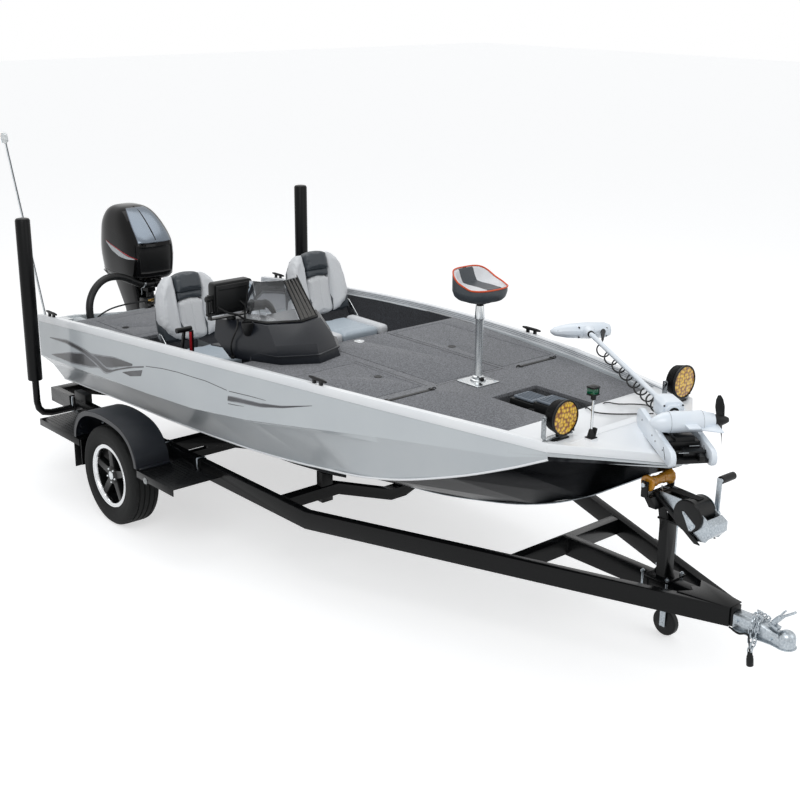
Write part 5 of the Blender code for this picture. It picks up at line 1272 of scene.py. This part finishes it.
# The hose from its sleeve under the cowl to the splash well's floor
hoseRun = [
    (-1.360, -0.0003, 1.190), (-1.360, -0.050, 1.190), (-1.359, -0.100, 1.200), (-1.357, -0.150, 1.219),
    (-1.352, -0.200, 1.245), (-1.343, -0.250, 1.269), (-1.332, -0.300, 1.287), (-1.320, -0.350, 1.297),
    (-1.307, -0.400, 1.300), (-1.293, -0.443, 1.2955), (-1.280, -0.483, 1.283), (-1.268, -0.520, 1.263),
    (-1.256, -0.553, 1.237), (-1.246, -0.580, 1.204), (-1.237, -0.600, 1.167), (-1.229, -0.612, 1.126),
    (-1.222, -0.616, 1.084), (-1.212, -0.616, 1.030), (-1.206, -0.616, 0.980), (-1.206, -0.616, 0.9303),
]
hosePath = [at(*p) for p in hoseRun][::-1]
finePath = [Vector(p) for p in flowing([tuple(p) for p in hosePath], 4)]
hose = made("riggingHose", [tubeOf(finePath, 0.027, 24, False)], hoseRubber, None, "black_plastic", 60)
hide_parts("rigging_hose")
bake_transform(hose)
print("hose bent")


# Cowl: height, aft, fore and half width of its rings, smooth over the solid's flat ones
cowlRows = [
    (1.222, -1.868, -1.345, 0.160), (1.236, -1.884, -1.306, 0.179), (1.262, -1.896, -1.284, 0.187),
    (1.290, -1.903, -1.277, 0.191),
    (1.400, -1.915, -1.272, 0.200), (1.515, -1.908, -1.290, 0.196), (1.620, -1.888, -1.392, 0.181),
    (1.700, -1.842, -1.496, 0.148), (1.738, -1.790, -1.575, 0.105), (1.749, -1.740, -1.640, 0.050),
]
cowlColumns = 48


def cowlRing(z, aft, fore, half):
    middle, reach = (aft + fore) / 2, (fore - aft) / 2
    ring = []
    for i in range(cowlColumns):
        angle = math.tau * (i + 0.5) / cowlColumns
        c, s = math.cos(angle), math.sin(angle)
        power = 0.52 if c > 0 else 0.78
        ring.append(at(middle + reach * math.copysign(abs(c) ** power, c), half * math.copysign(abs(s) ** 0.6, s), z))
    return ring


smoothRows = flowing(cowlRows, 4)
cowl = skinnedOf([cowlRing(*row) for row in smoothRows])
cowl.data.materials.append(cowlLacquer)
cowl.data.materials.append(mouldedBlack)
cowl.data.materials.append(paintedHighlightPanel)
cowlPatches = {
    "front": {"slot": 1, "low": 1.300, "high": 1.490, "ahead": 0.1, "wide": 0.72, "rim": 0.007, "depth": -0.009},
    # The top patch carries the painted highlight
    "top": {"slot": 2, "low": 1.520, "high": 1.736, "ahead": 0.0, "wide": 0.70, "rim": 0.004, "depth": 0.004},
}


def inPatch(face, patch):
    place = face.center - Vector((axleX, 0, 0))
    below = [row for row in smoothRows if row[0] <= place.z + 1e-6]
    z, aft, fore, half = below[-1] if below else smoothRows[0]
    ahead = place.x > (aft + fore) / 2 + patch["ahead"]
    return patch["low"] < place.z < patch["high"] and ahead and abs(place.y) < half * patch["wide"]


for patch in cowlPatches.values():
    only(cowl)
    for item in (*cowl.data.edges, *cowl.data.vertices):
        item.select = False
    for face in cowl.data.polygons:
        face.select = inPatch(face, patch)
        if face.select:
            face.material_index = patch["slot"]
    bpy.context.tool_settings.mesh_select_mode = (False, False, True)
    bpy.ops.object.mode_set(mode="EDIT")
    bpy.ops.mesh.inset(thickness=patch["rim"], depth=patch["depth"])
    endEdit()
    bpy.context.tool_settings.mesh_select_mode = (True, False, False)
modify(cowl, "BEVEL", width=0.0015, segments=2, limit_method="ANGLE", angle_limit=math.radians(35))
cowl = made("cowlSkin", [cowl], None, "outboard", "gloss_black", 50)
engine = dressed["outboard"]
editAll(engine)
bpy.ops.mesh.bisect(plane_co=(0, 0, 1.240), plane_no=(0, 0, 1), use_fill=True, clear_outer=True)
endEdit()
seamRing = cowlRing(1.262, -1.8965, -1.2835, 0.1875)
made("cowlSeam", [tubeOf(seamRing + seamRing[:1], 0.0022, 8, False)], mouldedBlack, "outboard", "black_paint", 0)
ribRun = [
    at(x, 0, z)
    for x, z in ((-1.298, 1.532), (-1.345, 1.585), (-1.400, 1.632), (-1.455, 1.676), (-1.520, 1.716), (-1.600, 1.744))
]
made("cowlRib", [tubeOf(ribRun, 0.0045, 8)], cowlLacquer, "outboard", "gloss_black", 60)
swooshes = {
    "Red": (redAccent, [(-1.700, 1.497), (-1.615, 1.478), (-1.523, 1.460), (-1.379, 1.424), (-1.310, 1.401)],
            [(-1.700, 1.494), (-1.615, 1.472), (-1.523, 1.452), (-1.379, 1.415), (-1.310, 1.399)], 0.0014),
    "Silver": (silverAccent, [(-1.695, 1.490), (-1.615, 1.470), (-1.523, 1.451), (-1.385, 1.413), (-1.330, 1.402)],
               [(-1.695, 1.486), (-1.600, 1.432), (-1.500, 1.402), (-1.400, 1.393), (-1.330, 1.396)], 0.0009),
}
for name, (finish, upper, lower, lift) in swooshes.items():
    film = filmOf(upper, lower, 0, lift, 30, cowl)
    film = made("cowl" + name + "Starboard", [film], finish, "outboard", "gloss_black", 0)
    mirrored(film, "cowl" + name + "Port", "outboard")
clip = [
    turnedOf(
        at(-1.351, -0.096, 1.199), (0.02, 0.98, -0.19),
        [(0, 0.0268), (0.002, 0.0295), (0.014, 0.0295), (0.016, 0.0268)], 24
    )
]
clip.append(rodOf(at(-1.351, -0.110, 1.172), at(-1.346, -0.112, 1.120), 0.003, 10))
made("hoseClip", clip, chromeWire, "outboard_swivel", "stainless", 40)
tube = [
    rodOf(at(-1.290, -0.128, 1.075), at(-1.290, 0.128, 1.075), 0.013, 20, 1),
    rodOf(at(-1.262, -0.060, 1.090), at(-1.262, 0.060, 1.090), 0.017, 20, 1)
]
made("tiltTube", tube, satinBlack, "boat", "black_paint", 40)
gland = [
    rodOf(at(-1.262, -0.060, 1.090), at(-1.262, -0.090, 1.090), 0.0105, 6),
    rodOf(at(-1.262, -0.090, 1.090), at(-1.262, -0.112, 1.090), 0.0075, 16)
]
made("cableGland", gland, brassFitting, "boat", "stainless", 40)
cablePath = [
    at(*p)
    for p in flowing(
        [
            (-1.262, -0.112, 1.090), (-1.262, -0.20, 1.092), (-1.256, -0.32, 1.092), (-1.246, -0.43, 1.082),
            (-1.234, -0.52, 1.056), (-1.226, -0.575, 1.020), (-1.222, -0.590, 0.980)
        ],
        4
    )
]
steerCable = made("steerCable", [tubeOf(cablePath, 0.0065, 12, False)], hoseRubber, smoothAngle=60)
print("cowl skinned")

# Console: a lip over its foot, the screen's rubber and edge strips, finder frame, cup holder, lever
lipOuter = [(0.70, -0.832), (1.178, -0.682), (1.300, -0.460), (1.232, -0.258), (1.052, -0.138), (0.72, -0.138)]
made("consoleLip", [plateOf(lipOuter, "z", 1.292, 1.302, 4)], grainedBlack, smoothAngle=35)
screenLow = [(0.874, -0.700), (1.024, -0.643), (1.118, -0.460), (1.078, -0.313), (0.976, -0.243)]
screenHigh = [(0.885, -0.665), (0.960, -0.625), (1.010, -0.500), (0.985, -0.390), (0.930, -0.345)]
rubber = [tubeOf([at(x, y, 1.466) for x, y in screenLow], 0.010, 10, False)]
strips = []
for low, high, thick in ((2, 2, 0.005), (3, 3, 0.006)):
    strips.append(tubeOf([at(*screenLow[low], 1.468), at(*screenHigh[high], 1.698)], thick, 10, False))
for share in (0.25, 0.5, 0.75):
    foot = [a + (b - a) * share for a, b in zip(screenLow[2], screenLow[3])]
    head = [a + (b - a) * share for a, b in zip(screenHigh[2], screenHigh[3])]
    strips.append(tubeOf([at(foot[0] - 0.004, foot[1], 1.47), at(head[0] + 0.002, head[1], 1.696)], 0.0055, 8, False))
strips.append(tubeOf([at(*screenLow[0], 1.468), at(*screenHigh[0], 1.698)], 0.004, 10, False))
made("screenRubber", rubber + strips, mouldedBlack)
facet = skinnedOf(
    [[at(*low[i], z) for i in (2, 3)] for low, z in ((screenLow, 1.470), (screenHigh, 1.696))], closed=False,
    capped=False
)
facet = modify(facet, "SOLIDIFY", thickness=0.0015, offset=0)
made("screenTint", [facet], tintedAcrylic, "boat", "smoked", 0)
case = [
    blockOf((0.828, 0.836), (-0.862, -0.608), (1.525, 1.685), 5, 2),
    blockOf((0.836, 0.840), (-0.845, -0.625), (1.655, 1.668), 2, 2),
    blockOf((0.790, 0.812), (-0.912, -0.900), (1.506, 1.625), 3, 2),
    blockOf((0.790, 0.812), (-0.570, -0.558), (1.506, 1.625), 3, 2),
    blockOf((0.786, 0.816), (-0.912, -0.558), (1.504, 1.518), 3, 2),
    rodOf(at(0.801, -0.918, 1.605), at(0.801, -0.890, 1.605), 0.015, 20, 2),
    rodOf(at(0.801, -0.580, 1.605), at(0.801, -0.552, 1.605), 0.015, 20, 2),
    tubeOf(
        [at(0.838, -0.86, 1.560), at(0.850, -0.80, 1.520), at(0.86, -0.74, 1.500), at(0.87, -0.70, 1.470)], 0.007, 10
    ),
    tubeOf(
        [at(0.838, -0.70, 1.575), at(0.856, -0.68, 1.545), at(0.87, -0.69, 1.500), at(0.885, -0.70, 1.468)], 0.006, 10
    ),
    tubeOf(
        [at(0.875, -0.745, 1.474), at(0.905, -0.772, 1.440), at(0.895, -0.812, 1.330), at(0.892, -0.800, 1.262)],
        0.0055, 10
    ),
    rodOf(at(0.892, -0.80, 1.2475), at(0.892, -0.80, 1.266), 0.013, 16, 2),
]
made("finderFrame", case, mouldedBlack)
screenFace = blockOf((0.752, 0.7605), (-0.860, -0.610), (1.525, 1.685), 3, 2)
made("finderScreen", [screenFace], cowlLacquer)
cup = turnedOf(
    at(0.962, -0.738, 1.395), up,
    [
        (0, 0.018), (0.030, 0.030), (0.060, 0.035), (0.078, 0.036), (0.080, 0.033), (0.078, 0.030), (0.040, 0.026),
        (0.038, 0.002)
    ],
    32
)
made("cupHolder", [cup], mouldedBlack)
made("leverStripe", [blockOf((0.449, 0.456), (-0.822, -0.808), (1.195, 1.322), 1, 2)], redAccent)
made("leverArm", [blockOf((0.430, 0.452), (-0.814, -0.790), (1.190, 1.330), 4, 2)], mouldedBlack)
print("console fitted")

# Bow roller: two dished discs and a ribbed waist on a zinc bolt
rollerX, rollerZ = 3.456, 1.045
spool = [
    (0, 0.010), (0, 0.038), (0.004, 0.0415), (0.012, 0.042), (0.020, 0.036), (0.034, 0.0285), (0.052, 0.0245),
    (0.054, 0.0275), (0.060, 0.0275), (0.062, 0.0235)
]
spool += [(0.088, 0.0235)]
spool += [(0.180 - d, r) for d, r in reversed(spool[:-1])]
roller = turnedOf(at(rollerX, -0.090, rollerZ), (0, 1, 0), spool, 40, True)
made("bowSpool", [roller], amberUrethane, "bow_roller", "amber", 35)
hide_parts("bow_roller")
bolt = [
    rodOf(at(rollerX, -0.120, rollerZ), at(rollerX, 0.120, rollerZ), 0.0078, 16),
    rodOf(at(rollerX, -0.122, rollerZ), at(rollerX, -0.114, rollerZ), 0.0125, 6),
    rodOf(at(rollerX, 0.114, rollerZ), at(rollerX, 0.124, rollerZ), 0.0125, 6)
]
made("rollerBolt", bolt, zincPlate, "boat", "zinc", 30)

# Winch: zinc cheeks in a black channel, covered drum, black strap to the bow eye, and the handle's grip
winch = {"x": 3.695, "z": 0.942, "drumR": 0.078, "coverR": 0.083}
winchHub = at(winch["x"], 0, winch["z"])
cheek = [
    (3.506, 0.988), (3.744, 0.828), (3.760, 0.826), (3.800, 0.832), (3.838, 0.885), (3.838, 0.925), (3.740, 0.985),
    (3.640, 1.010), (3.512, 1.016)
]
cheeks = [plateOf(cheek, "y", y, y + 0.004, 0.8) for y in (-0.054, 0.050)]
cheeks.append(
    plateOf(
        [
            (3.812, 0.850), (3.842, 0.882), (3.842, 0.930), (3.806, 0.952), (3.798, 0.946), (3.832, 0.922),
            (3.832, 0.888), (3.806, 0.860)
        ],
        "y", -0.056, 0.056, 0.8
    )
)
gearCover = [(0, 0.080), (0.006, 0.079), (0.014, 0.066), (0.018, 0.040), (0.019, 0.002)]
cheeks.append(turnedOf(winchHub + Vector((0, 0.054, 0)), (0, 1, 0), gearCover, 40))
winchBody = made("winchCheeks", cheeks, zincPlate, "boat", "zinc", 35)
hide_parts("winch")
triangle = plateOf(
    [(3.668, 0.962), (3.680, 0.964), (3.752, 0.912), (3.750, 0.900), (3.730, 0.876), (3.716, 0.874)], "y", -0.0785,
    -0.075, 0.8
)
heads = [
    rodOf(at(x, -0.083, z), at(x, -0.078, z), 0.0055, 6)
    for x, z in ((3.681, 0.954), (3.740, 0.906), (3.722, 0.885))
]
shaftEnd = [
    rodOf(at(3.750, 0.050, 0.930), at(3.750, 0.085, 0.930), 0.010, 20, 1),
    rodOf(at(3.757, -0.030, 0.955), at(3.757, 0.045, 0.955), 0.008, 16, 1)
]
made("winchPlate", [triangle, *heads, *shaftEnd], zincPlate, "boat", "zinc", 35)
channel = [(3.470, 0.997), (3.742, 0.812), (3.775, 0.812), (3.776, 0.816), (3.500, 0.999), (3.486, 1.004)]
black = [plateOf(channel, "y", y, y + 0.006, 1) for y in (-0.066, 0.060)]
black.append(plateOf([(3.470, 0.997), (3.742, 0.812), (3.752, 0.820), (3.480, 1.005)], "y", -0.062, 0.062, 1))
drumCover = [
    (0, winch["coverR"]), (0.012, winch["coverR"] + 0.0005), (0.018, 0.079), (0.0205, 0.070), (0.0205, 0.002)
]
black.append(turnedOf(winchHub - Vector((0, 0.056, 0)), (0, -1, 0), drumCover, 44))
black.append(rodOf(winchHub - Vector((0, 0.050, 0)), winchHub + Vector((0, 0.050, 0)), winch["drumR"], 40))
made("winchCase", black, satinBlack, "boat", "black_paint", 35)
webbing = grain(
    newFinish("polyesterWebbing", "101113", 0.7, Specular_IOR_Level=0.2), 3, "0b0c0d", "17181a", 0.4,
    stretch=(0.3, 1, 0.3)
)
strap = [
    barOf(at(3.720, 0, 1.0205), at(3.545, 0, 1.0180), 0.048, 0.003),
    barOf(at(3.550, 0, 1.0180), at(3.505, 0, 1.0060), 0.048, 0.003)
]
made("winchStrap", strap, webbing, smoothAngle=35)
eye = [
    tubeOf(
        [
            at(3.506, -0.026, 1.006), at(3.506, 0.026, 1.006), at(3.488, 0.010, 1.010), at(3.480, 0.0, 1.018),
            at(3.488, -0.010, 1.010), at(3.506, -0.026, 1.006)
        ],
        0.0035, 8, False
    )
]
made("strapHook", eye, zincPlate, "boat", "zinc", 35)
grip = turnedOf(
    at(3.750, 0.100, 1.102), (0, 1, 0),
    [(0, 0.011), (0.002, 0.0200), (0.040, 0.0205), (0.094, 0.0200), (0.106, 0.0195), (0.108, 0.008)], 20, True
)
made("crankGrip", [grip], mouldedBlack, "winch_crank", "black_plastic", 40)

# Coupler: a pressed channel running out to the ball dome, ribbed latch, wrapped chain and lighting plug
rings = []
for x, half, low, high in (
    (3.982, 0.037, 0.449, 0.524), (4.060, 0.038, 0.448, 0.526), (4.100, 0.040, 0.448, 0.528),
    (4.150, 0.036, 0.447, 0.520), (4.195, 0.034, 0.446, 0.505), (4.235, 0.040, 0.446, 0.500),
    (4.262, 0.040, 0.446, 0.498)
):
    rings.append(
        [
            at(x, w, z)
            for w, z in (
                (-half, low), (-half, high - 0.010), (-half + 0.010, high), (half - 0.010, high),
                (half, high - 0.010), (half, low)
            )
        ]
    )
channelBody = rounded(skinnedOf(rings), 3, 2)
dome = turnedOf(
    at(4.258, 0, 0.4435), up,
    [
        (0, 0.0498), (0.004, 0.0500), (0.006, 0.0440), (0.050, 0.0430), (0.066, 0.038), (0.078, 0.026),
        (0.084, 0.010), (0.085, 0.001)
    ],
    40
)
flange = plateOf(
    [
        (3.984, -0.052), (4.12, -0.052), (4.20, -0.043), (4.258, -0.0498), (4.258, 0.0498), (4.20, 0.043),
        (4.12, 0.052), (3.984, 0.052)
    ],
    "z", 0.4435, 0.4480, 1
)
latch = [
    barOf(at(4.165, 0, 0.532), at(4.215, 0, 0.520), 0.034, 0.014, roundMm=2),
    barOf(at(4.176, 0, 0.530), at(4.222, 0, 0.586), 0.030, 0.022, roundMm=3),
    barOf(at(4.215, 0, 0.580), at(4.288, 0, 0.632), 0.024, 0.012, roundMm=3),
    barOf(at(4.222, 0, 0.600), at(4.236, 0, 0.620), 0.020, 0.008, roundMm=1),
]
for i in range(4):
    spot = Vector((0.0085 * i, 0, 0.0104 * i))
    latch.append(
        barOf(at(4.186, -0.0165, 0.545) + spot, at(4.186, 0.0165, 0.545) + spot, 0.003, 0.026, (0.77, 0, -0.64))
    )
bolts = [rodOf(at(x, -0.044, z), at(x, 0.044, z), 0.007, 6) for x, z in ((4.005, 0.490), (4.196, 0.470))]
couplerBody = made("couplerBody", [channelBody, dome, flange, *latch, *bolts], zincPlate, "boat", "zinc", 38)
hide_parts("coupler")


chain = {"length": 0.033, "width": 0.021, "wire": 0.0034, "pitch": 0.026}


# One chain link: a welded oval of wire
def linkOf(place, way, roll):
    side = up.cross(way)
    side = side.normalized() if side.length > 0.1 else Vector((0, 1, 0))
    side = Matrix.Rotation(roll, 3, way) @ side
    half, straight = chain["width"] / 2, (chain["length"] - chain["width"]) / 2
    points = []
    for i in range(15):
        angle = math.tau * i / 14
        c, s = math.cos(angle), math.sin(angle)
        along = c * half + math.copysign(straight, c) * (abs(c) > 0.01)
        points.append(place + way * along + side * (s * half))
    return tubeOf(points, chain["wire"], 8, False)


chainRuns = [
    [
        (4.080, 0.052, 0.478), (4.078, 0.050, 0.520), (4.082, 0.030, 0.545), (4.090, 0.000, 0.556),
        (4.096, -0.030, 0.545), (4.098, -0.050, 0.515), (4.096, -0.054, 0.470), (4.100, -0.056, 0.420),
        (4.104, -0.056, 0.370)
    ],
    [
        (4.128, 0.050, 0.478), (4.126, 0.048, 0.515), (4.122, 0.028, 0.540), (4.118, 0.002, 0.550),
        (4.120, -0.028, 0.542), (4.124, -0.048, 0.512), (4.126, -0.054, 0.470), (4.122, -0.058, 0.425),
        (4.112, -0.060, 0.385)
    ],
]
links = []
for run in chainRuns:
    points = [at(*p) for p in flowing(run, 8)]
    gone, goal, count = 0.0, 0.0, 0
    for a, b in zip(points, points[1:]):
        if gone >= goal:
            links.append(linkOf(a, (b - a).normalized(), math.radians(45 + 90 * (count % 2))))
            goal += chain["pitch"]
            count += 1
        gone += (b - a).length
made("safetyChain", links, zincPlate, "boat", "zinc", 50)
plug = [
    turnedOf(
        at(4.106, -0.058, 0.375), (0.10, 0, -1),
        [
            (0, 0.006), (0.006, 0.012), (0.020, 0.0135), (0.022, 0.016), (0.034, 0.016), (0.036, 0.0175),
            (0.070, 0.0175), (0.073, 0.0150)
        ],
        20
    )
]
plug.append(
    tubeOf(
        [
            at(4.104, -0.058, 0.378), at(4.098, -0.062, 0.43), at(4.086, -0.058, 0.455), at(4.03, -0.055, 0.440),
            at(3.975, -0.052, 0.452)
        ],
        0.005, 10
    )
)
made("lightPlug", plug, mouldedBlack)
print("nose fitted")

# Trailer hardware: U-bolts, post bolts, gusset, lamps, mudflaps and grip on the steps
hardware, lampsBlack, lampsRed, lampsClear, flaps, treads = [], [], [], [], [], []
for side in (1, -1):
    for x in (-1.03, -0.61, 0.22, 0.60):
        bend = [
            (x, 0.900, 0.425), (x, 0.900, 0.548), (x, 0.896, 0.553), (x, 0.846, 0.553), (x, 0.842, 0.548),
            (x, 0.842, 0.425)
        ]
        hardware.append(tubeOf([at(px, side * py, pz) for px, py, pz in bend], 0.0055, 10, False))
        for y in (0.900, 0.842):
            hardware.append(rodOf(at(x, side * y, 0.434), at(x, side * y, 0.444), 0.0105, 6))
    lampsBlack.append(blockOf((-0.99, -0.83), sorted((side * 0.845, side * 0.900)), (0.5475, 0.612), 5, 2))
    lampsRed.append(blockOf((-0.996, -0.989), sorted((side * 0.850, side * 0.895)), (0.555, 0.605), 2, 2))
    lampsClear.append(
        turnedOf(
            at(0.522, side * 1.2225, 0.461), (0, side, 0),
            [(0, 0.021), (0.004, 0.021), (0.009, 0.015), (0.011, 0.002)], 24
        )
    )
    flaps.append(blockOf((-0.436, -0.428), sorted((side * 1.000, side * 1.205)), (0.275, 0.502), 2, 2))
    for (x0, x1) in ((-0.86, -0.42), (0.44, 0.82)):
        for i in range(int((x1 - x0) / 0.024)):
            for k in range(11):
                x, y = x0 + 0.024 * i + 0.012 * (k % 2), side * (0.925 + 0.026 * k)
                treads.append((x, y))
for x in (3.445, 3.598):
    for y in (-0.060, 0.060):
        hardware.append(rodOf(at(x, y, 0.430), at(x, y, 0.572), 0.006, 12))
        hardware.append(rodOf(at(x, y, 0.5555), at(x, y, 0.5660), 0.0115, 6))
made("trailerBolts", hardware, zincPlate, "boat", "zinc", 40)
made("tailLamps", lampsBlack, mouldedBlack)
made("tailLenses", lampsRed, redLens)
made("sideMarkers", lampsClear, clearLens, "boat", "zinc", 40)
made("mudflaps", flaps, mouldedBlack)
gusset = [
    (3.690, -0.098), (3.735, -0.030), (3.700, 0.0), (3.735, 0.030), (3.690, 0.098), (3.968, 0.048), (3.968, -0.048)
]
made("noseGusset", [plateOf(gusset, "z", 0.5450, 0.5505, 1)], powderCoat, "boat", "black_paint")
bar = barOf(at(-0.006, 0, 0.5015), at(0.006, 0, 0.5015), 0.0035, 0.0018, roundMm=0.8)
grips = []
for number, (x, y) in enumerate(treads):
    copy = bar.copy()
    copy.data = bar.data.copy()
    bpy.context.scene.collection.objects.link(copy)
    turn = Matrix.Rotation(math.radians(45 if number % 2 else -45), 4, "Z")
    copy.data.transform(Matrix.Translation(at(x, y, 0.5015)) @ turn @ Matrix.Translation(-at(0, 0, 0.5015)))
    grips.append(copy)
bpy.data.objects.remove(bar, do_unlink=True)
made("stepGrip", grips, powderCoat, "boat", "black_paint", 0)

# Pull holes in the lids
pulls = {
    "front_lid_starboard": (1.726, -0.373, 1.2472),
    "front_lid_port": (1.526, 0.390, 1.2472),
    "aft_lid": (-0.740, -0.600, 1.0722),
}
pullRim = [(0, 0.024), (0.0012, 0.0235), (0.0014, 0.019), (0.0004, 0.016), (0.0003, 0.002)]
for name, place in pulls.items():
    pull = turnedOf(at(*place), up, pullRim, 28)
    made("pull" + camel(name)[0].upper() + camel(name)[1:], [pull], mouldedBlack, name, "black_plastic", 30)
print("trailer fitted")


# Camera at the photograph's angle, worked out from the trailer's parallel rails
view = {
    "place": (7.237, -5.008, 3.439), "azimuth": 41.07, "down": 17.94, "roll": 0.41, "focal": 1319.5, "pixels": 800
}
sensorWidth = 36
az, down, roll = (math.radians(view[key]) for key in ("azimuth", "down", "roll"))
ahead = Vector((-math.cos(az) * math.cos(down), math.sin(az) * math.cos(down), -math.sin(down)))
level = Vector((math.sin(az), math.cos(az), 0))
upright = level.cross(ahead)
right = level * math.cos(roll) + upright * math.sin(roll)
top = upright * math.cos(roll) - level * math.sin(roll)
lens = bpy.data.cameras.new("photoCamera")
lens.lens = view["focal"] / view["pixels"] * sensorWidth
lens.clip_end = 200
camera = bpy.data.objects.new("photoCamera", lens)
bpy.context.scene.collection.objects.link(camera)
turn = Matrix((right, top, -ahead)).transposed().to_4x4()
turn.translation = at(*view["place"])
camera.matrix_world = turn
bpy.context.scene.camera = camera

# Floor, world and lamps. The floor and the world show white to the camera and in gloss and glass.
studio = {"floorSize": 90.0, "floor": "d9dadb", "floorWhite": 0.60, "world": "f2f4f6", "worldStrength": 0.50}
bpy.ops.object.select_all(action="DESELECT")
bpy.ops.mesh.primitive_plane_add(size=studio["floorSize"], location=(0, 0, -0.0005))
floor = bpy.context.object
floor.name = "studioFloor"
floorPaint = bpy.data.materials.new("paleFloor")
floorPaint.use_nodes = True
tree = floorPaint.node_tree
paint = tree.nodes["Principled BSDF"]
paint.inputs["Base Color"].default_value = hexColour(studio["floor"])
paint.inputs["Roughness"].default_value = 0.95


def whiteRays(tree):
    ray = addNode(tree, "ShaderNodeLightPath")
    most = {"operation": "MAXIMUM"}
    seen = addNode(
        tree, "ShaderNodeMath", most, {0: ray.outputs["Is Camera Ray"], 1: ray.outputs["Is Transmission Ray"]}
    )
    return addNode(tree, "ShaderNodeMath", most, {0: seen.outputs[0], 1: ray.outputs["Is Glossy Ray"]})


power = addNode(
    tree, "ShaderNodeMath", {"operation": "MULTIPLY", 1: studio["floorWhite"]}, {0: whiteRays(tree).outputs[0]}
)
glow = addNode(tree, "ShaderNodeEmission", {"Color": hexColour("ffffff")}, {"Strength": power.outputs[0]})
both = addNode(tree, "ShaderNodeAddShader", None, {0: paint.outputs[0], 1: glow.outputs[0]})
tree.links.new(both.outputs[0], tree.nodes["Material Output"].inputs["Surface"])
floor.data.materials.append(floorPaint)

world = bpy.data.worlds.new("softStudio")
bpy.context.scene.world = world
world.use_nodes = True
sky = world.node_tree
background = sky.nodes["Background"]
background.inputs["Color"].default_value = hexColour(studio["world"])
background.inputs["Strength"].default_value = studio["worldStrength"]
white = addNode(sky, "ShaderNodeBackground", {"Color": hexColour("ffffff"), "Strength": 1.0})
mixed = addNode(
    sky, "ShaderNodeMixShader", None, {0: whiteRays(sky).outputs[0], 1: background.outputs[0], 2: white.outputs[0]}
)
sky.links.new(mixed.outputs[0], sky.nodes["World Output"].inputs["Surface"])

lamps = {
    "keyLamp": {"place": (4.5, -5.5, 7.0), "aim": (0, 0, 0.8), "size": 5.0, "power": 260},
    "fillLamp": {"place": (8.0, 3.0, 4.5), "aim": (0, 0, 0.8), "size": 5.0, "power": 90},
    "topLamp": {"place": (-2.0, 1.0, 7.5), "aim": (0, 0, 0.8), "size": 6.0, "power": 170},
}
for name, lamp in lamps.items():
    light = bpy.data.lights.new(name, "AREA")
    light.size = lamp["size"]
    light.energy = lamp["power"]
    holder = bpy.data.objects.new(name, light)
    bpy.context.scene.collection.objects.link(holder)
    holder.location = lamp["place"]
    holder.rotation_euler = (Vector(lamp["aim"]) - Vector(lamp["place"])).to_track_quat("-Z", "Y").to_euler()
bpy.context.scene.view_settings.view_transform = "Standard"
print("studio set")
